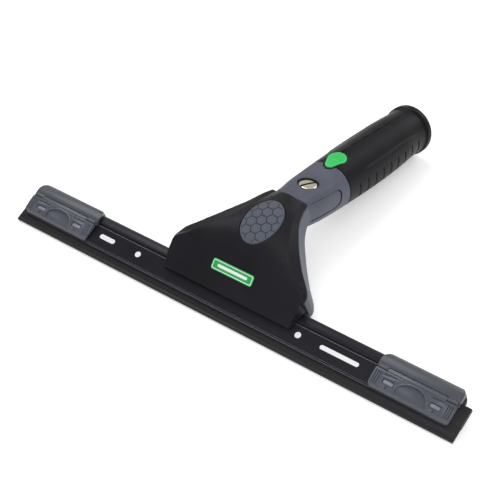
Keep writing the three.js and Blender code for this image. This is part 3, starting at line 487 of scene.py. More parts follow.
@dataclass
class Piece:
    """A mesh in the making, in the millimetres of its own axes."""

    name: str
    points: list[Point] = field(default_factory=list)
    faces: list[tuple[int, ...]] = field(default_factory=list)

    def loft(self, rings: Sequence[Sequence[Point]], closed: bool = False) -> "Piece":
        """Adds a skin over rings with the same number of points.

        Args:
            rings: The rings, in order.
            closed: Whether the last ring joins the first, as in a tube's wall.

        Returns:
            This piece.
        """
        base = len(self.points)
        count = len(rings[0])
        for ring in rings:
            self.points.extend(ring)
        pairs = len(rings) if closed else len(rings) - 1
        for r in range(pairs):
            a = base + r * count
            b = base + ((r + 1) % len(rings)) * count
            self.faces.extend((a + i, a + (i + 1) % count, b + (i + 1) % count, b + i) for i in range(count))
        if not closed:
            top = base + (len(rings) - 1) * count
            self.faces.append(tuple(base + i for i in reversed(range(count))))
            self.faces.append(tuple(top + i for i in range(count)))
        return self

    def push(self, outline: Sequence[Flat], low: float, high: float, along: Along = Along.Z) -> "Piece":
        """Adds a flat outline pushed along an axis.

        Args:
            outline: Points in the cross plane: y and z for X, z and x for Y, x and y for Z.
            low: Where it starts.
            high: Where it ends.
            along: The axis.

        Returns:
            This piece.
        """
        def at(place: float) -> list[Point]:
            """Places the outline at one distance along the axis."""
            if along is Along.X:
                return [(place, u, v) for u, v in outline]
            if along is Along.Y:
                return [(v, place, u) for u, v in outline]
            return [(u, v, place) for u, v in outline]

        return self.loft([at(low), at(high)])

    def box(self, low: Point, high: Point) -> "Piece":
        """Adds a box from its lowest to its highest corner."""
        corners = [(low[0], low[1]), (high[0], low[1]), (high[0], high[1]), (low[0], high[1])]
        return self.push(corners, low[2], high[2])

    def turned(self, profile: Sequence[Flat], sides: int = 64, centre: Flat = (0.0, 0.0)) -> "Piece":
        """Adds a shape turned about an upright axis.

        Args:
            profile: Radii and heights, from the axis out and back to it.
            sides: How many sides the turned shape has.
            centre: Where the axis stands.

        Returns:
            This piece.
        """
        turns = [math.tau * i / sides for i in range(sides)]
        x, y = centre
        rings = [
            [(x + max(r, 1e-4) * math.cos(t), y + max(r, 1e-4) * math.sin(t), z) for t in turns]
            for r, z in profile
        ]
        return self.loft(rings)

    def build(self, merge: bool = True) -> bpy.types.Object:
        """Makes the object, still in its own axes.

        Args:
            merge: Whether points in the same place become one.

        Returns:
            The object.
        """
        mesh = bpy.data.meshes.new(self.name)
        mesh.from_pydata(self.points, [], self.faces)
        work = bmesh.new()
        work.from_mesh(mesh)
        if merge:
            bmesh.ops.remove_doubles(work, verts=work.verts, dist=1e-4)
        bmesh.ops.recalc_face_normals(work, faces=work.faces)
        work.to_mesh(mesh)
        work.free()
        made = bpy.data.objects.new(self.name, mesh)
        bpy.context.scene.collection.objects.link(made)
        return made


def settle(made: bpy.types.Object) -> None:
    """Applies an object's modifiers to its mesh."""
    graph = bpy.context.evaluated_depsgraph_get()
    old = made.data
    new = bpy.data.meshes.new_from_object(made.evaluated_get(graph))
    made.modifiers.clear()
    made.data = new
    bpy.data.meshes.remove(old)


class Way(Enum):
    """What happens where two shapes meet."""

    CUT = "DIFFERENCE"
    KEEP = "INTERSECT"
    JOIN = "UNION"


class Work:
    """Cuts, softens and finishes objects while they are still in their own axes."""

    @staticmethod
    def combine(
        made: bpy.types.Object, tools: Iterable[Piece | bpy.types.Object], way: Way = Way.CUT
    ) -> None:
        """Cuts an object with others, or keeps what they share, or joins them.

        Args:
            made: The object.
            tools: Pieces or objects that it meets, one after another; they are used up.
            way: What happens where they meet.
        """
        for tool in tools:
            cutter = tool.build() if isinstance(tool, Piece) else tool
            modifier = made.modifiers.new("shape", "BOOLEAN")
            modifier.operation = way.value
            modifier.solver = "MANIFOLD"
            modifier.object = cutter
            settle(made)
            bpy.data.objects.remove(cutter)

    @staticmethod
    def soften(made: bpy.types.Object, voxel: float, passes: int) -> None:
        """Rounds every edge a little, as a mould does.

        Args:
            made: The object.
            voxel: Size of the new faces, in millimetres.
            passes: How often the surface is smoothed.
        """
        remesh = made.modifiers.new("even", "REMESH")
        remesh.mode = "VOXEL"
        remesh.voxel_size = voxel
        smooth = made.modifiers.new("soft", "SMOOTH")
        smooth.factor = 0.5
        smooth.iterations = passes
        settle(made)

    @staticmethod
    def bevel(made: bpy.types.Object, width: float, segments: int = 2, angle: float = 32.0) -> None:
        """Rounds the sharp edges.

        Args:
            made: The object.
            width: Width of the bevel, in millimetres.
            segments: Faces across it.
            angle: Edges sharper than this many degrees are rounded.
        """
        modifier = made.modifiers.new("edges", "BEVEL")
        modifier.width = width
        modifier.segments = segments
        modifier.limit_method = "ANGLE"
        modifier.angle_limit = math.radians(angle)
        modifier.use_clamp_overlap = True
        settle(made)

    @staticmethod
    def mask(made: bpy.types.Object, name: str, value: Callable[[Vector], float]) -> None:
        """Writes how strongly a finish shows its mask colour at each point.

        Args:
            made: The object.
            name: Name of the point attribute.
            value: Gives the strength at a place, from 0 to 1.
        """
        strengths = [value(vertex.co) for vertex in made.data.vertices]
        made.data.attributes.new(name, "FLOAT", "POINT").data.foreach_set("value", strengths)

    @staticmethod
    def shade(made: bpy.types.Object, angle: float = 40.0) -> None:
        """Shades the object smooth, with its sharp edges kept."""
        made.data.shade_smooth()
        made.data.set_sharp_from_angle(angle=math.radians(angle))


@dataclass(frozen=True)
class Axes:
    """A sub-assembly's own axes in the frame.

    Attributes:
        matrix: Takes millimetres in these axes to metres in the frame.
    """

    matrix: Matrix

    def finish(
        self, made: bpy.types.Object, finish: Finish, body: str, slot: str, nodes: Sequence[str] = ()
    ) -> bpy.types.Object:
        """Moves a finished object to its place, dresses it and hangs it on its body.

        Args:
            made: The object, in these axes.
            finish: Its finish.
            body: The body it rides on.
            slot: The material slot of the record; not used.
            nodes: Nodes of the frame that it stands for.

        Returns:
            The object.
        """
        made.data.transform(self.matrix)
        made.data.materials.clear()
        made.data.materials.append(finish.build())
        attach(made, body)
        if nodes:
            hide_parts(*nodes)
        LOG.info("%s: %d faces on %s", made.name, len(made.data.polygons), body)
        return made


# ------------------------------------------------------------------ places from the frame


@dataclass(frozen=True)
class Layout:
    """Where the head and the handle lie in the frame.

    Attributes:
        head: Axes of the head, on the middle of the jaw.
        rail: Axes of the head, on the middle of the blade.
        handle: Axes of the handle, at the swivel.
        jaw_hinge: Place of the jaw's hinge in the head's plane.
    """

    head: Axes
    rail: Axes
    handle: Axes
    jaw_hinge: Flat

    @classmethod
    def read(cls, joints: Sequence[dict], hinge_height: float = 5.35, swivel: Flat = (94.7, 0.1)) -> "Layout":
        """Works the axes out from the joints.

        Args:
            joints: The frame's joints.
            hinge_height: Height of the clip hinges in the head's plane.
            swivel: Place of the swivel in the head's plane.

        Returns:
            The layout.
        """
        named = {joint["name"]: joint for joint in joints}
        pivot = Vector(named["swivel"]["pos_m"])
        normal = Vector(named["swivel"]["axis"]).normalized()
        hinge = Vector(named["clip_lid_left"]["pos_m"])
        jaw = Vector(named["jaw_open"]["pos_m"])
        across = Vector((1.0, 0.0, 0.0))
        along = normal.cross(across)
        rise = math.atan2(pivot.z - hinge.z, pivot.y - hinge.y)
        pitch = rise - math.atan2(swivel[1] - hinge_height, swivel[0])
        turn = Matrix.Rotation(pitch, 4, "X")
        size = Matrix.Scale(MM, 4)
        foot = Vector((0.0, pivot.y, pivot.z)) - (turn @ Vector((0.0, *swivel))) * MM
        head = Matrix.Translation(foot + across * pivot.x) @ turn @ size
        handle = Matrix.Translation(pivot) @ Matrix((across, along, normal)).transposed().to_4x4() @ size
        local = head.inverted() @ jaw
        return cls(
            head=Axes(head),
            rail=Axes(Matrix.Translation(foot) @ turn @ size),
            handle=Axes(handle),
            jaw_hinge=(local.y, local.z),
        )

    def in_head(self, piece: Piece) -> Piece:
        """Takes a piece drawn on the handle to the head's plane.

        Args:
            piece: The piece, in the handle's axes.

        Returns:
            The same piece, in the head's.
        """
        matrix = self.head.matrix.inverted() @ self.handle.matrix
        piece.points = [tuple(matrix @ Vector(point)) for point in piece.points]
        return piece


def span_in(axes: Axes, node: str) -> tuple[float, float]:
    """Gives how far a node reaches along x, in the axes' millimetres."""
    low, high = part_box(node)
    start = axes.matrix.translation.x
    return ((low.x - start) / MM, (high.x - start) / MM)


# ------------------------------------------------------------------ blade and channel


@dataclass
class Rail:
    """The rubber blade in its channel, with the plain marks printed on the channel."""

    reach: float = 21.3
    lip: float = 0.95
    bead: float = 1.75
    bead_front: float = -11.1
    bead_back: float = 2.6
    front: float = -15.3
    lip_half: float = 2.3
    face_half: float = 3.3
    back_half: float = 3.95
    back: float = 9.5
    groove: float = 1.2
    fit: float = 0.35

    def upper_outline(self, grow: float = 0.0) -> list[Flat]:
        """Draws the channel's outer half outline from the front lip to the round back.

        Args:
            grow: How much larger it is all round.

        Returns:
            The points.
        """
        front, face, back = self.front - grow, self.face_half + grow, self.back_half + grow
        lip = self.lip_half + grow
        lips = [(front, lip - 0.25), (front + 0.25, lip)]
        lines = [(-14.0, lip), (-13.8, lip - 0.3)]
        step = [(-13.3, lip - 0.3), (-13.1, lip), (-12.8, lip)]
        flat = [(-12.4, face), (self.groove - 1.1, face), (self.groove - 0.9, face + 0.2)]
        ridge = [(self.groove - 0.4, face + 0.2), (self.groove - 0.15, face - 0.3),
                 (self.groove + 0.35, face - 0.3)]
        start = self.groove + 1.6
        turns = [math.radians(a) for a in spread(90, 0, 14)]
        reach = self.back + grow - start
        rounded = [(start + reach * math.cos(t), back * math.sin(t)) for t in turns]
        return lips + lines + step + flat + ridge + [(self.groove + 0.6, back - 0.1)] + rounded

    def outline(self, grow: float = 0.0) -> list[Flat]:
        """Draws the whole outline of the channel."""
        upper = self.upper_outline(grow)
        return upper + [(y, -z) for y, z in reversed(upper[:-1])]

    def slot(self) -> list[Flat]:
        """Draws the slot that holds the blade's bead, open at the front."""
        lip, bead = self.lip + self.fit, self.bead + self.fit
        step, back, front = self.bead_front - self.fit, self.bead_back + self.fit, self.front - 1
        return [(front, -lip), (step, -lip), (step, -bead), (back, -bead), (back, bead), (step, bead),
                (step, lip), (front, lip)]

    def make_blade(self, axes: Axes) -> None:
        """Builds the rubber: a crisp working edge, two fine lines and the bead behind."""
        low, high = span_in(axes, "blade")
        lip, bead = self.lip, self.bead
        half = [
            (-self.reach, lip), (-self.reach + 2.2, lip), (-self.reach + 2.35, lip - 0.12),
            (-self.reach + 2.5, lip), (self.front + 1.2, lip), (self.bead_front, lip),
            (self.bead_front, bead), (self.bead_back, bead),
        ]
        outline = half + [(y, -z) for y, z in reversed(half)]
        made = Piece("blade_rubber_strip").push(outline, low, high, Along.X).build()
        Work.bevel(made, 0.12, 2, 50)
        Work.shade(made)
        axes.finish(made, BLADE_RUBBER, "head", "rubber", ["blade"])

    def make_channel(self, axes: Axes) -> None:
        """Builds the channel with its fine lines and its slot."""
        low, high = span_in(axes, "channel")
        made = Piece("channel_rail").push(self.outline(), low, high, Along.X).build()
        Work.combine(made, [Piece("slot").push(self.slot(), low - 1, high + 1, Along.X)])
        Work.bevel(made, 0.12, 2, 28)
        Work.shade(made, 28)
        axes.finish(made, ANODISED, "head", "anodised", ["channel"])
        self.make_lines(axes, low, high)

    def make_lines(self, axes: Axes, low: float, high: float) -> None:
        """Draws the fine bright lines along the channel's ridges.

        Args:
            axes: Axes of the rail.
            low: Where the channel starts.
            high: Where it ends.
        """
        ridge, lip = self.face_half + 0.2, self.lip_half
        lines = Piece("channel_lines")
        for y, width, z in ((self.groove - 0.68, 0.26, ridge), (-13.05, 0.2, lip), (-14.25, 0.22, lip)):
            section = [(y - width / 2, z - 0.05), (y + width / 2, z - 0.05), (y + width / 2, z + 0.03),
                       (y - width / 2, z + 0.03)]
            lines.push(section, low, high, Along.X)
        made = lines.build()
        Work.shade(made)
        axes.finish(made, RIDGE_LINE_METAL, "head", "anodised")

    def make_marks(self, axes: Axes) -> None:
        """Prints plain dots and bars on the channel's flat face."""
        top = self.face_half
        middle = -5.6
        bars = [(-110.0, -97.0, 1.7), (74.0, 103.0, 1.5)]
        dots = [-76.0, 57.0]
        marks = Piece("channel_marks")
        for start, end, half in bars:
            outline = round_rectangle((start, middle - half), (end, middle + half), [half * 0.98] * 4)
            marks.push(outline, top - 0.05, top + 0.03)
        for x in dots:
            marks.push(arc((x, middle), 2.2, 0, 330, 11), top - 0.05, top + 0.03)
        made = marks.build()
        Work.shade(made)
        axes.finish(made, PRINT_WHITE, "head", "anodised")

    def build(self, axes: Axes) -> None:
        """Builds the blade, the channel and the marks."""
        self.make_blade(axes)
        self.make_channel(axes)
        self.make_marks(axes)


# ------------------------------------------------------------------ end clips


@dataclass
class EndClip:
    """One end clip: a body round the back of the channel and a lid that hooks over its lip."""

    side: str
    rail: Rail
    length: float = 57.6
    wall: float = 2.0
    hinge_height: float = 5.35
    knuckle: float = 1.4
    pin: float = 0.55
    lid_front: float = -14.1
    knuckle_end: float = 8.0
    slide: float = 0.4
    dish_half: float = 10.6
    window: float = 16.6

    @property
    def top(self) -> float:
        """Height of the lid's upper face at the hinge."""
        return self.hinge_height + self.knuckle

    def _bar(self, piece: Piece, low: float, high: float, radius: float) -> Piece:
        """Adds a bar round the hinge line."""
        return piece.push(arc((0.0, self.hinge_height), radius, 0, 345, 23), low, high, Along.X)

    def make_body(self, axes: Axes, start: float) -> None:
        """Builds the body: a smooth wrap with round back corners and two knuckles.

        Args:
            axes: Axes of the rail.
            start: Where the clip begins along the blade.
        """
        fit = self.rail.fit
        end = start + self.length
        outer = self.rail.upper_outline(fit + self.wall)[13:]
        foot = -(self.rail.face_half + fit) - self.wall + 0.5
        lower = [(y, -z + (0.3 if y < 8 else 0.0)) for y, z in reversed(outer[1:-1])]
        level = self.hinge_height
        web = [(0.0, level - 0.9), (0.0, level + 0.55), (1.9, level + 0.68)]
        outline = web + outer[1:] + lower + [(-9.0, foot), (-10.0, foot + 0.7), (-10.0, foot + 1.5)]
        made = Piece(f"clip_body_shell_{self.side}").push(outline, start, end, Along.X).build()
        plan = round_rectangle((start, -16), (end, 12.4), [7.5, 7.5, 1.5, 1.5])
        Work.combine(made, [Piece("plan").push(plan, -12, 12)], Way.KEEP)
        cuts = Piece("room").push(self.rail.outline(fit), start - 1, end + 1, Along.X)
        gap = Piece("gap")
        self._bar(gap, start + self.knuckle_end, end - self.knuckle_end, self.knuckle + self.slide)
        Work.combine(made, [cuts, gap])
        knuckles = [self._bar(Piece("knuckle"), *ends, self.knuckle) for ends in (
            (start + 1.2, start + self.knuckle_end), (end - self.knuckle_end, end - 1.2))]
        Work.combine(made, knuckles, Way.JOIN)
        Work.combine(made, [self._bar(Piece("hole"), start - 1, end + 1, self.pin + 0.1)])
        Work.bevel(made, 0.3, 3, 35)
        Work.shade(made, 50)
        axes.finish(made, CLIP_SMOKE, "head", "smoke", [f"clip_body_{self.side}"])

    def lid_outline(self) -> list[Flat]:
        """Draws the lid's section, with its crowned top and the hook over the channel's lip."""
        rail, fit = self.rail, self.rail.fit
        front, front_top = self.lid_front, rail.lip_half + fit + 1.6
        under = rail.face_half + fit + 0.1
        crown = [(-0.2, self.top), (-2.5, self.top + 0.05), (-6.0, self.top - 0.05), (-9.0, self.top - 0.45)]
        nose = [(front + 2.6, self.top - 1.1), (front + 1.0, front_top - 0.1), (front + 0.2, front_top - 0.9)]
        lip = rail.lip_half + fit
        hook = [(front, lip + 0.6), (front, lip), (-12.9, lip)]
        return crown + nose + hook + [(-12.5, under), (-0.9, under), (-0.6, self.hinge_height - 0.8),
                                      (-0.2, self.hinge_height - 0.8)]

    def dish(self, middle: float, grow: float) -> list[Flat]:
        """Draws the thumb recess: an arch open towards the front.

        Args:
            middle: Middle of the lid along the blade.
            grow: How much larger it is.

        Returns:
            The outline.
        """
        half, front, back = self.dish_half + grow, self.lid_front - 1.0, -3.1 + grow
        turns = [math.radians(a) for a in spread(0, 180, 24)]
        rise = back - (self.lid_front + 3.0)
        arch = [(middle + half * math.cos(t), back - rise + rise * math.sin(t) ** 0.8) for t in turns]
        return [(middle + half + 0.4, front)] + arch + [(middle - half - 0.4, front)]

    def make_lid(self, axes: Axes, start: float) -> None:
        """Builds the lid with its thumb recess, windows, ribs and dimples.

        Args:
            axes: Axes of the rail.
            start: Where the clip begins along the blade.
        """
        end, middle, top = start + self.length, start + self.length / 2, self.top
        first, second = start + self.knuckle_end + self.slide, end - self.knuckle_end - self.slide
        made = Piece(f"clip_lid_shell_{self.side}").push(
            self.lid_outline(), start + 0.3, end - 0.3, Along.X).build()
        plan = round_rectangle((start + 0.3, self.lid_front - 0.1), (end - 0.3, 4), [0.3, 0.3, 2.6, 2.6])
        Work.combine(made, [Piece("plan").push(plan, -12, 12)], Way.KEEP)
        back = -self.knuckle - self.slide
        gaps = Piece("gaps").box((start - 1, back, 0), (first, 3, 9)).box((second, back, 0), (end + 1, 3, 9))
        cuts = [gaps, Piece("dish").push(self.dish(middle, 0.0), top - 1.9, top + 3)]
        details = Piece("details")
        for side in (-1, 1):
            window = middle + side * self.window
            frame = round_rectangle((window - 3.9, -9.6), (window + 3.9, -6.2), [0.7] * 4)
            details.push(frame, top - 1.5, top + 3)
            dip = round_rectangle((window - 4.6, -4.4), (window + 4.2, -2.9), [0.7] * 4)
            details.push(dip, top - 0.6, top + 3)
            details.push(arc((window, -11.4), 0.9, 0, 330, 11), top - 1.9, top + 3)
            for rib in range(3):
                x = middle + side * (self.length / 2 - 2.0 - 1.5 * rib)
                details.box((x - 0.25, -12.2, top - 1.5 - (0.0 if rib else 0.1)), (x + 0.25, -3.2, top + 3))
        cuts.append(details)
        Work.combine(made, cuts)
        knuckle = Piece("knuckle")
        self._bar(knuckle, first, second, self.knuckle)
        Work.combine(made, [knuckle], Way.JOIN)
        hole = Piece("hole")
        self._bar(hole, start - 1, end + 1, self.pin + 0.1)
        line = Piece("line").box((first - 0.5, back, top - 0.55), (second + 0.5, back + 0.35, top + 1))
        Work.combine(made, [hole, line])
        Work.bevel(made, 0.22, 2, 35)
        Work.shade(made, 45)
        axes.finish(made, LID_SMOKE, f"clip_lid_{self.side}", "smoke", [f"clip_lid_{self.side}"])
        self.make_rim(axes, middle)
        self.make_plates(axes, middle)

    def make_rim(self, axes: Axes, middle: float) -> None:
        """Adds the raised rim round the thumb recess.

        Args:
            axes: Axes of the rail.
            middle: Middle of the lid along the blade.
        """
        top = self.top
        slope = ((-14.1, 3.2), (-11.5, top - 1.1), (-9, top - 0.45), (-6, top - 0.05), (-2.5, top))

        def level(y: float) -> float:
            """Gives the height of the lid's top at a distance from the hinge."""
            return through(slope, y)

        rings = []
        for (ix, iy), (ox, oy) in zip(self.dish(middle, 0.0)[2:-2], self.dish(middle, 0.8)[2:-2]):
            cx, cy = (ix + ox) / 2, (iy + oy) / 2
            rings.append([(ix, iy, level(iy) - 0.6), (ix, iy, level(iy) + 0.12), (cx, cy, level(cy) + 0.25),
                          (ox, oy, level(oy) + 0.05), (ox, oy, level(oy) - 0.6)])
        made = Piece(f"clip_rim_{self.side}").loft(rings).build()
        Work.shade(made, 60)
        axes.finish(made, LID_SMOKE, f"clip_lid_{self.side}", "smoke")

    def make_plates(self, axes: Axes, middle: float) -> None:
        """Lays the small pale plates that show in the windows.

        Args:
            axes: Axes of the rail.
            middle: Middle of the lid along the blade.
        """
        plates = Piece(f"clip_plates_{self.side}")
        for side in (-1, 1):
            x = middle + side * self.window
            outline = round_rectangle((x - 3.4, -9.1), (x + 3.4, -6.7), [0.4] * 4)
            plates.push(outline, self.top - 1.45, self.top - 1.0)
        made = plates.build()
        Work.bevel(made, 0.1, 2)
        Work.shade(made)
        axes.finish(made, WINDOW_SMOKE, f"clip_lid_{self.side}", "smoke")

    def build(self, axes: Axes) -> None:
        """Builds the clip where its body lies in the frame."""
        start, _ = span_in(axes, f"clip_body_{self.side}")
        self.make_body(axes, start)
        self.make_lid(axes, start)


# ------------------------------------------------------------------ head


@dataclass
class Jaws:
    """The two jaws that clamp the channel, the thumb pad, the label and the swivel's tongue."""

    layout: Layout
    rail: Rail
    front: float = -5.6
    rear: float = 76.0
    step: float = 10.4
    skin: float = 2.4
    pad_y: float = 47.0
    pad_half: float = 13.1
    pad_long: float = 18.2
    pad_depth: float = 1.4
    pad_proud: float = 0.7
    cell: float = 6.9
    label_y: float = 9.0
    label_size: Flat = (33.0, 7.6)
    tail_radius: float = 24.0
    tail_rim: float = 5.0
    slot_top: float = -4.4
    slot_bottom: float = -18.0
    width: Curve = ((-5.6, 51.7), (8, 53.8), (15, 53.8), (19, 52), (30, 41.7), (45, 29.6), (60, 20.1),
                    (76, 14.5))
    crown: Curve = ((-5.6, 7.7), (6, 13.2), (16, 18.2), (24, 21), (36, 22.8), (50, 23), (60, 21.6),
                    (68, 18.6), (76, 14.6))
    shoulder: Curve = ((-5.6, 7.2), (13, 16), (20, 19.4), (30, 20.6), (45, 19.3), (60, 17), (66, 15),
                       (76, 10.2))
    bevel: Curve = ((-5.6, 1.2), (12, 1.5), (20, 9.2), (30, 9), (45, 7.2), (60, 4.9), (76, 3.8))
    seam: Curve = ((11.8, 11.2), (19, 13), (24, 15.6), (30, 16.8), (40, 17.5), (50, 16.9), (60, 15.1),
                   (68, 12.6), (76, 8.4))
    under: Curve = ((-5, -6.4), (0, -7.2), (12, -8.4), (24, -8.6), (45, -5.4), (58, -2.6), (66, -2.2),
                    (76, -6))

    def seam_at(self, y: float) -> float:
        """Gives the height of the joint line between the jaws."""
        return self.rail.back_half + self.rail.fit if y < self.step else through(self.seam, y)

    def ring(self, y: float, inset: float, raised: float = 0.0) -> list[Point]:
        """Draws one cross section of the upper jaw.

        Args:
            y: Distance behind the clip hinges.
            inset: How much smaller it is, for the hollow.
            raised: How much higher it is.

        Returns:
            The ring.
        """
        wide = through(self.width, y) - inset
        flat = wide - through(self.bevel, y)
        shoulder = through(self.shoulder, y) - inset
        crown = through(self.crown, y) - inset
        seam = self.seam_at(y) - (1.5 if inset > 0 else 0)
        edge = min(seam + 1.3, shoulder - 0.2)
        top = [(u * flat, shoulder + (crown - shoulder) * (1 - u * u)) for u in spread(-1, 1, 28)]
        section = [(wide, seam), (-wide, seam), (-wide, edge), *top, (wide, edge)]
        return [(x, y, z + raised) for x, z in section]

    def top_at(self, x: float, y: float) -> float:
        """Gives the height of the upper jaw's top face.

        Args:
            x: Place across the head.
            y: Distance behind the clip hinges.

        Returns:
            The height.
        """
        flat = through(self.width, y) - through(self.bevel, y)
        shoulder, crown = through(self.shoulder, y), through(self.crown, y)
        return shoulder + (crown - shoulder) * (1 - min(1.0, (x / flat) ** 2))

    def circle(self, name: str, radius: float, low: float = -60, high: float = 60) -> Piece:
        """Draws a drum round the swivel, in the head's plane."""
        profile = [(0, low), (radius, low), (radius, high), (0, high)]
        return self.layout.in_head(Piece(name).turned(profile, 160))

    def ellipse(self, grow: float) -> list[Flat]:
        """Draws the pad's outline."""
        turns = [math.tau * i / 96 for i in range(96)]
        return [((self.pad_half + grow) * math.cos(t), self.pad_y + (self.pad_long + grow) * math.sin(t))
                for t in turns]

    def places(self, start: float) -> list[float]:
        """Lists where the long rings are drawn, close together where the outline turns."""
        return spread(start, 20, 14) + spread(20.6, self.rear, 70)

    def make_upper(self) -> None:
        """Builds the upper jaw: its shell, the pad's seat, the lip's line and the hinge lug."""
        hinge_y, hinge_z = self.layout.jaw_hinge
        rings = [self.ring(y, 0) for y in spread(self.front, self.step - 0.1, 16)]
        rings += [self.ring(y, 0) for y in self.places(self.step + 0.5)]
        made = Piece("jaw_upper_shell").loft(rings).build()
        seat = Piece("seat").push(self.ellipse(0.45), 0, 40).build()
        floor = Piece("floor").loft([self.ring(y, 0, -self.pad_depth) for y in spread(22, 72, 50)])
        Work.combine(seat, [floor])
        Work.combine(made, [seat])
        hollow = Piece("hollow").loft([self.ring(y, self.skin) for y in spread(20, 62, 30)])
        liner = Piece("liner").box((-42.3, self.front + 1.1, 2.0), (42.3, -0.9, 5.5))
        heel = Piece("heel").box((-7.5, hinge_y - 2.6, hinge_z - 9), (7.5, hinge_y + 2.6, hinge_z))
        eye = Piece("eye").push(arc((hinge_y, hinge_z), 2.6, 0, 350, 35), -7.5, 7.5, Along.X)
        outside, inside = self.front - 1, self.front + 0.35
        scratch = [(outside, 5.35), (inside, 5.35), (inside, 5.75), (outside, 5.75)]
        line = Piece("line").push(scratch, -60, 60, Along.X)
        Work.combine(made, [hollow, liner, heel, eye, self.circle("rear", self.tail_radius + 0.2), line])
        lug = Piece("lug").box((-3.2, hinge_y - 1.6, hinge_z - 6.5), (3.2, hinge_y + 1.6, hinge_z + 4))
        ring = Piece("ring").push(arc((hinge_y, hinge_z), 2.2, 0, 342, 19), -3.2, 3.2, Along.X)
        Work.combine(made, [lug, ring], Way.JOIN)
        hole = Piece("hole").push(arc((hinge_y, hinge_z), 1.25, 0, 342, 19), -9, 9, Along.X)
        Work.combine(made, [hole])
        Work.soften(made, 0.42, 2)
        Work.shade(made, 60)
        self.layout.head.finish(made, JAW_BLACK, "upper_jaw", "black", ["upper_jaw"])

    def groove_at(self, x: float, y: float) -> float:
        """Tells how deep a place lies in the grooves between the pad's six-sided cells.

        Args:
            x: Place across the pad.
            y: Place along it.

        Returns:
            0 on a cell, 1 in the middle of a groove.
        """
        column = self.cell * math.sqrt(3) / 2
        best: list[float] = []
        i0, j0 = round(x / column), round(y / self.cell)
        for i in (i0 - 1, i0, i0 + 1):
            for j in (j0 - 1, j0, j0 + 1, j0 + 2):
                best.append(math.hypot(x - i * column, y - (j - 0.5 * (i % 2)) * self.cell))
        best.sort()
        return 1 - smooth_step(0.25, 0.85, best[1] - best[0])

    def make_pad(self) -> None:
        """Builds the thumb pad: crowned with the jaw, cut into six-sided cells."""
        sectors, circles = 220, 64
        turns = [math.tau * i / sectors for i in range(sectors)]
        rings: list[list[Point]] = []
        for r in range(circles + 1):
            u = max(r / circles, 0.002)
            edge = smooth_step(0.93, 1.0, u)
            ring = []
            for t in turns:
                x, y = u * self.pad_half * math.cos(t), u * self.pad_long * math.sin(t)
                depth = 0.42 * self.groove_at(x, y) * (1 - smooth_step(0.9, 0.95, u))
                z = self.top_at(x, self.pad_y + y) + self.pad_proud - 0.02 - depth - 0.7 * edge ** 2
                ring.append((x, self.pad_y + y, z))
            rings.append(ring)
        foot = [(x, y, self.top_at(x, y) - self.pad_depth + 0.25) for x, y, _ in rings[-1]]
        rings.append(foot)
        made = Piece("thumb_pad_cells").loft(rings).build()
        Work.shade(made, 60)

        def dark(place: Vector) -> float:
            """Gives the painted shade at a place: in the grooves between the cells and round the pad's
            outline.
            """
            x, y = place.x, place.y - self.pad_y
            rim = (x / self.pad_half) ** 2 + (y / self.pad_long) ** 2
            return max(self.groove_at(x, y) if rim < 0.86 else 0.0, smooth_step(0.93, 1.0, rim) * 0.8)

        # Painted shade in the grooves and round the outline.
        Work.mask(made, "groove", dark)
        self.layout.head.finish(made, PAD_SLATE, "upper_jaw", "slate", ["thumb_pad"])

    def make_label(self) -> None:
        """Builds a plain green label with a pale line round it and a plain bar."""
        y0, (length, height) = self.label_y, self.label_size
        tilt = math.atan2(through(self.crown, y0 + 3) - through(self.crown, y0 - 3), 6)
        place = Matrix.Translation((0, y0, through(self.crown, y0) + 0.3)) @ Matrix.Rotation(tilt, 4, "X")

        def plate(name: str, size: Flat, corner: float, low: float, high: float) -> Piece:
            """Draws a plate with round corners on the slope of the jaw."""
            x, y = size[0] / 2, size[1] / 2
            piece = Piece(name).push(round_rectangle((-x, -y), (x, y), [corner] * 4), low, high)
            piece.points = [tuple(place @ Vector(point)) for point in piece.points]
            return piece

        made = plate("label_plate", (length, height), 1.6, -0.05, 0.62).build()
        Work.bevel(made, 0.25, 3)
        Work.shade(made)
        self.layout.head.finish(made, LABEL_GREEN, "upper_jaw", "green", ["badge"])
        border = plate("label_border", (length - 1.3, height - 1.3), 1.1, 0.5, 0.68).build()
        Work.combine(border, [plate("inside", (length - 2.3, height - 2.3), 0.8, 0, 2)])
        Work.shade(border)
        self.layout.head.finish(border, PRINT_WHITE, "upper_jaw", "green")
        bar = plate("label_bar", (length - 9.0, 2.0), 0.95, 0.5, 0.68).build()
        Work.shade(bar)
        self.layout.head.finish(bar, PRINT_WHITE, "upper_jaw", "green")

    def tail(self) -> Piece:
        """Draws the round tongue of the swivel in the handle's axes."""
        low, high, rim = self.slot_bottom + 0.3, self.slot_top - 0.3, self.tail_rim
        edge = (arc((self.tail_radius - rim, low + rim), rim, -90, 0, 8)
                + arc((self.tail_radius - rim, high - rim), rim, 0, 90, 8))
        return Piece("tail").turned([(5.5, low), *edge, (5.5, high)], 160)

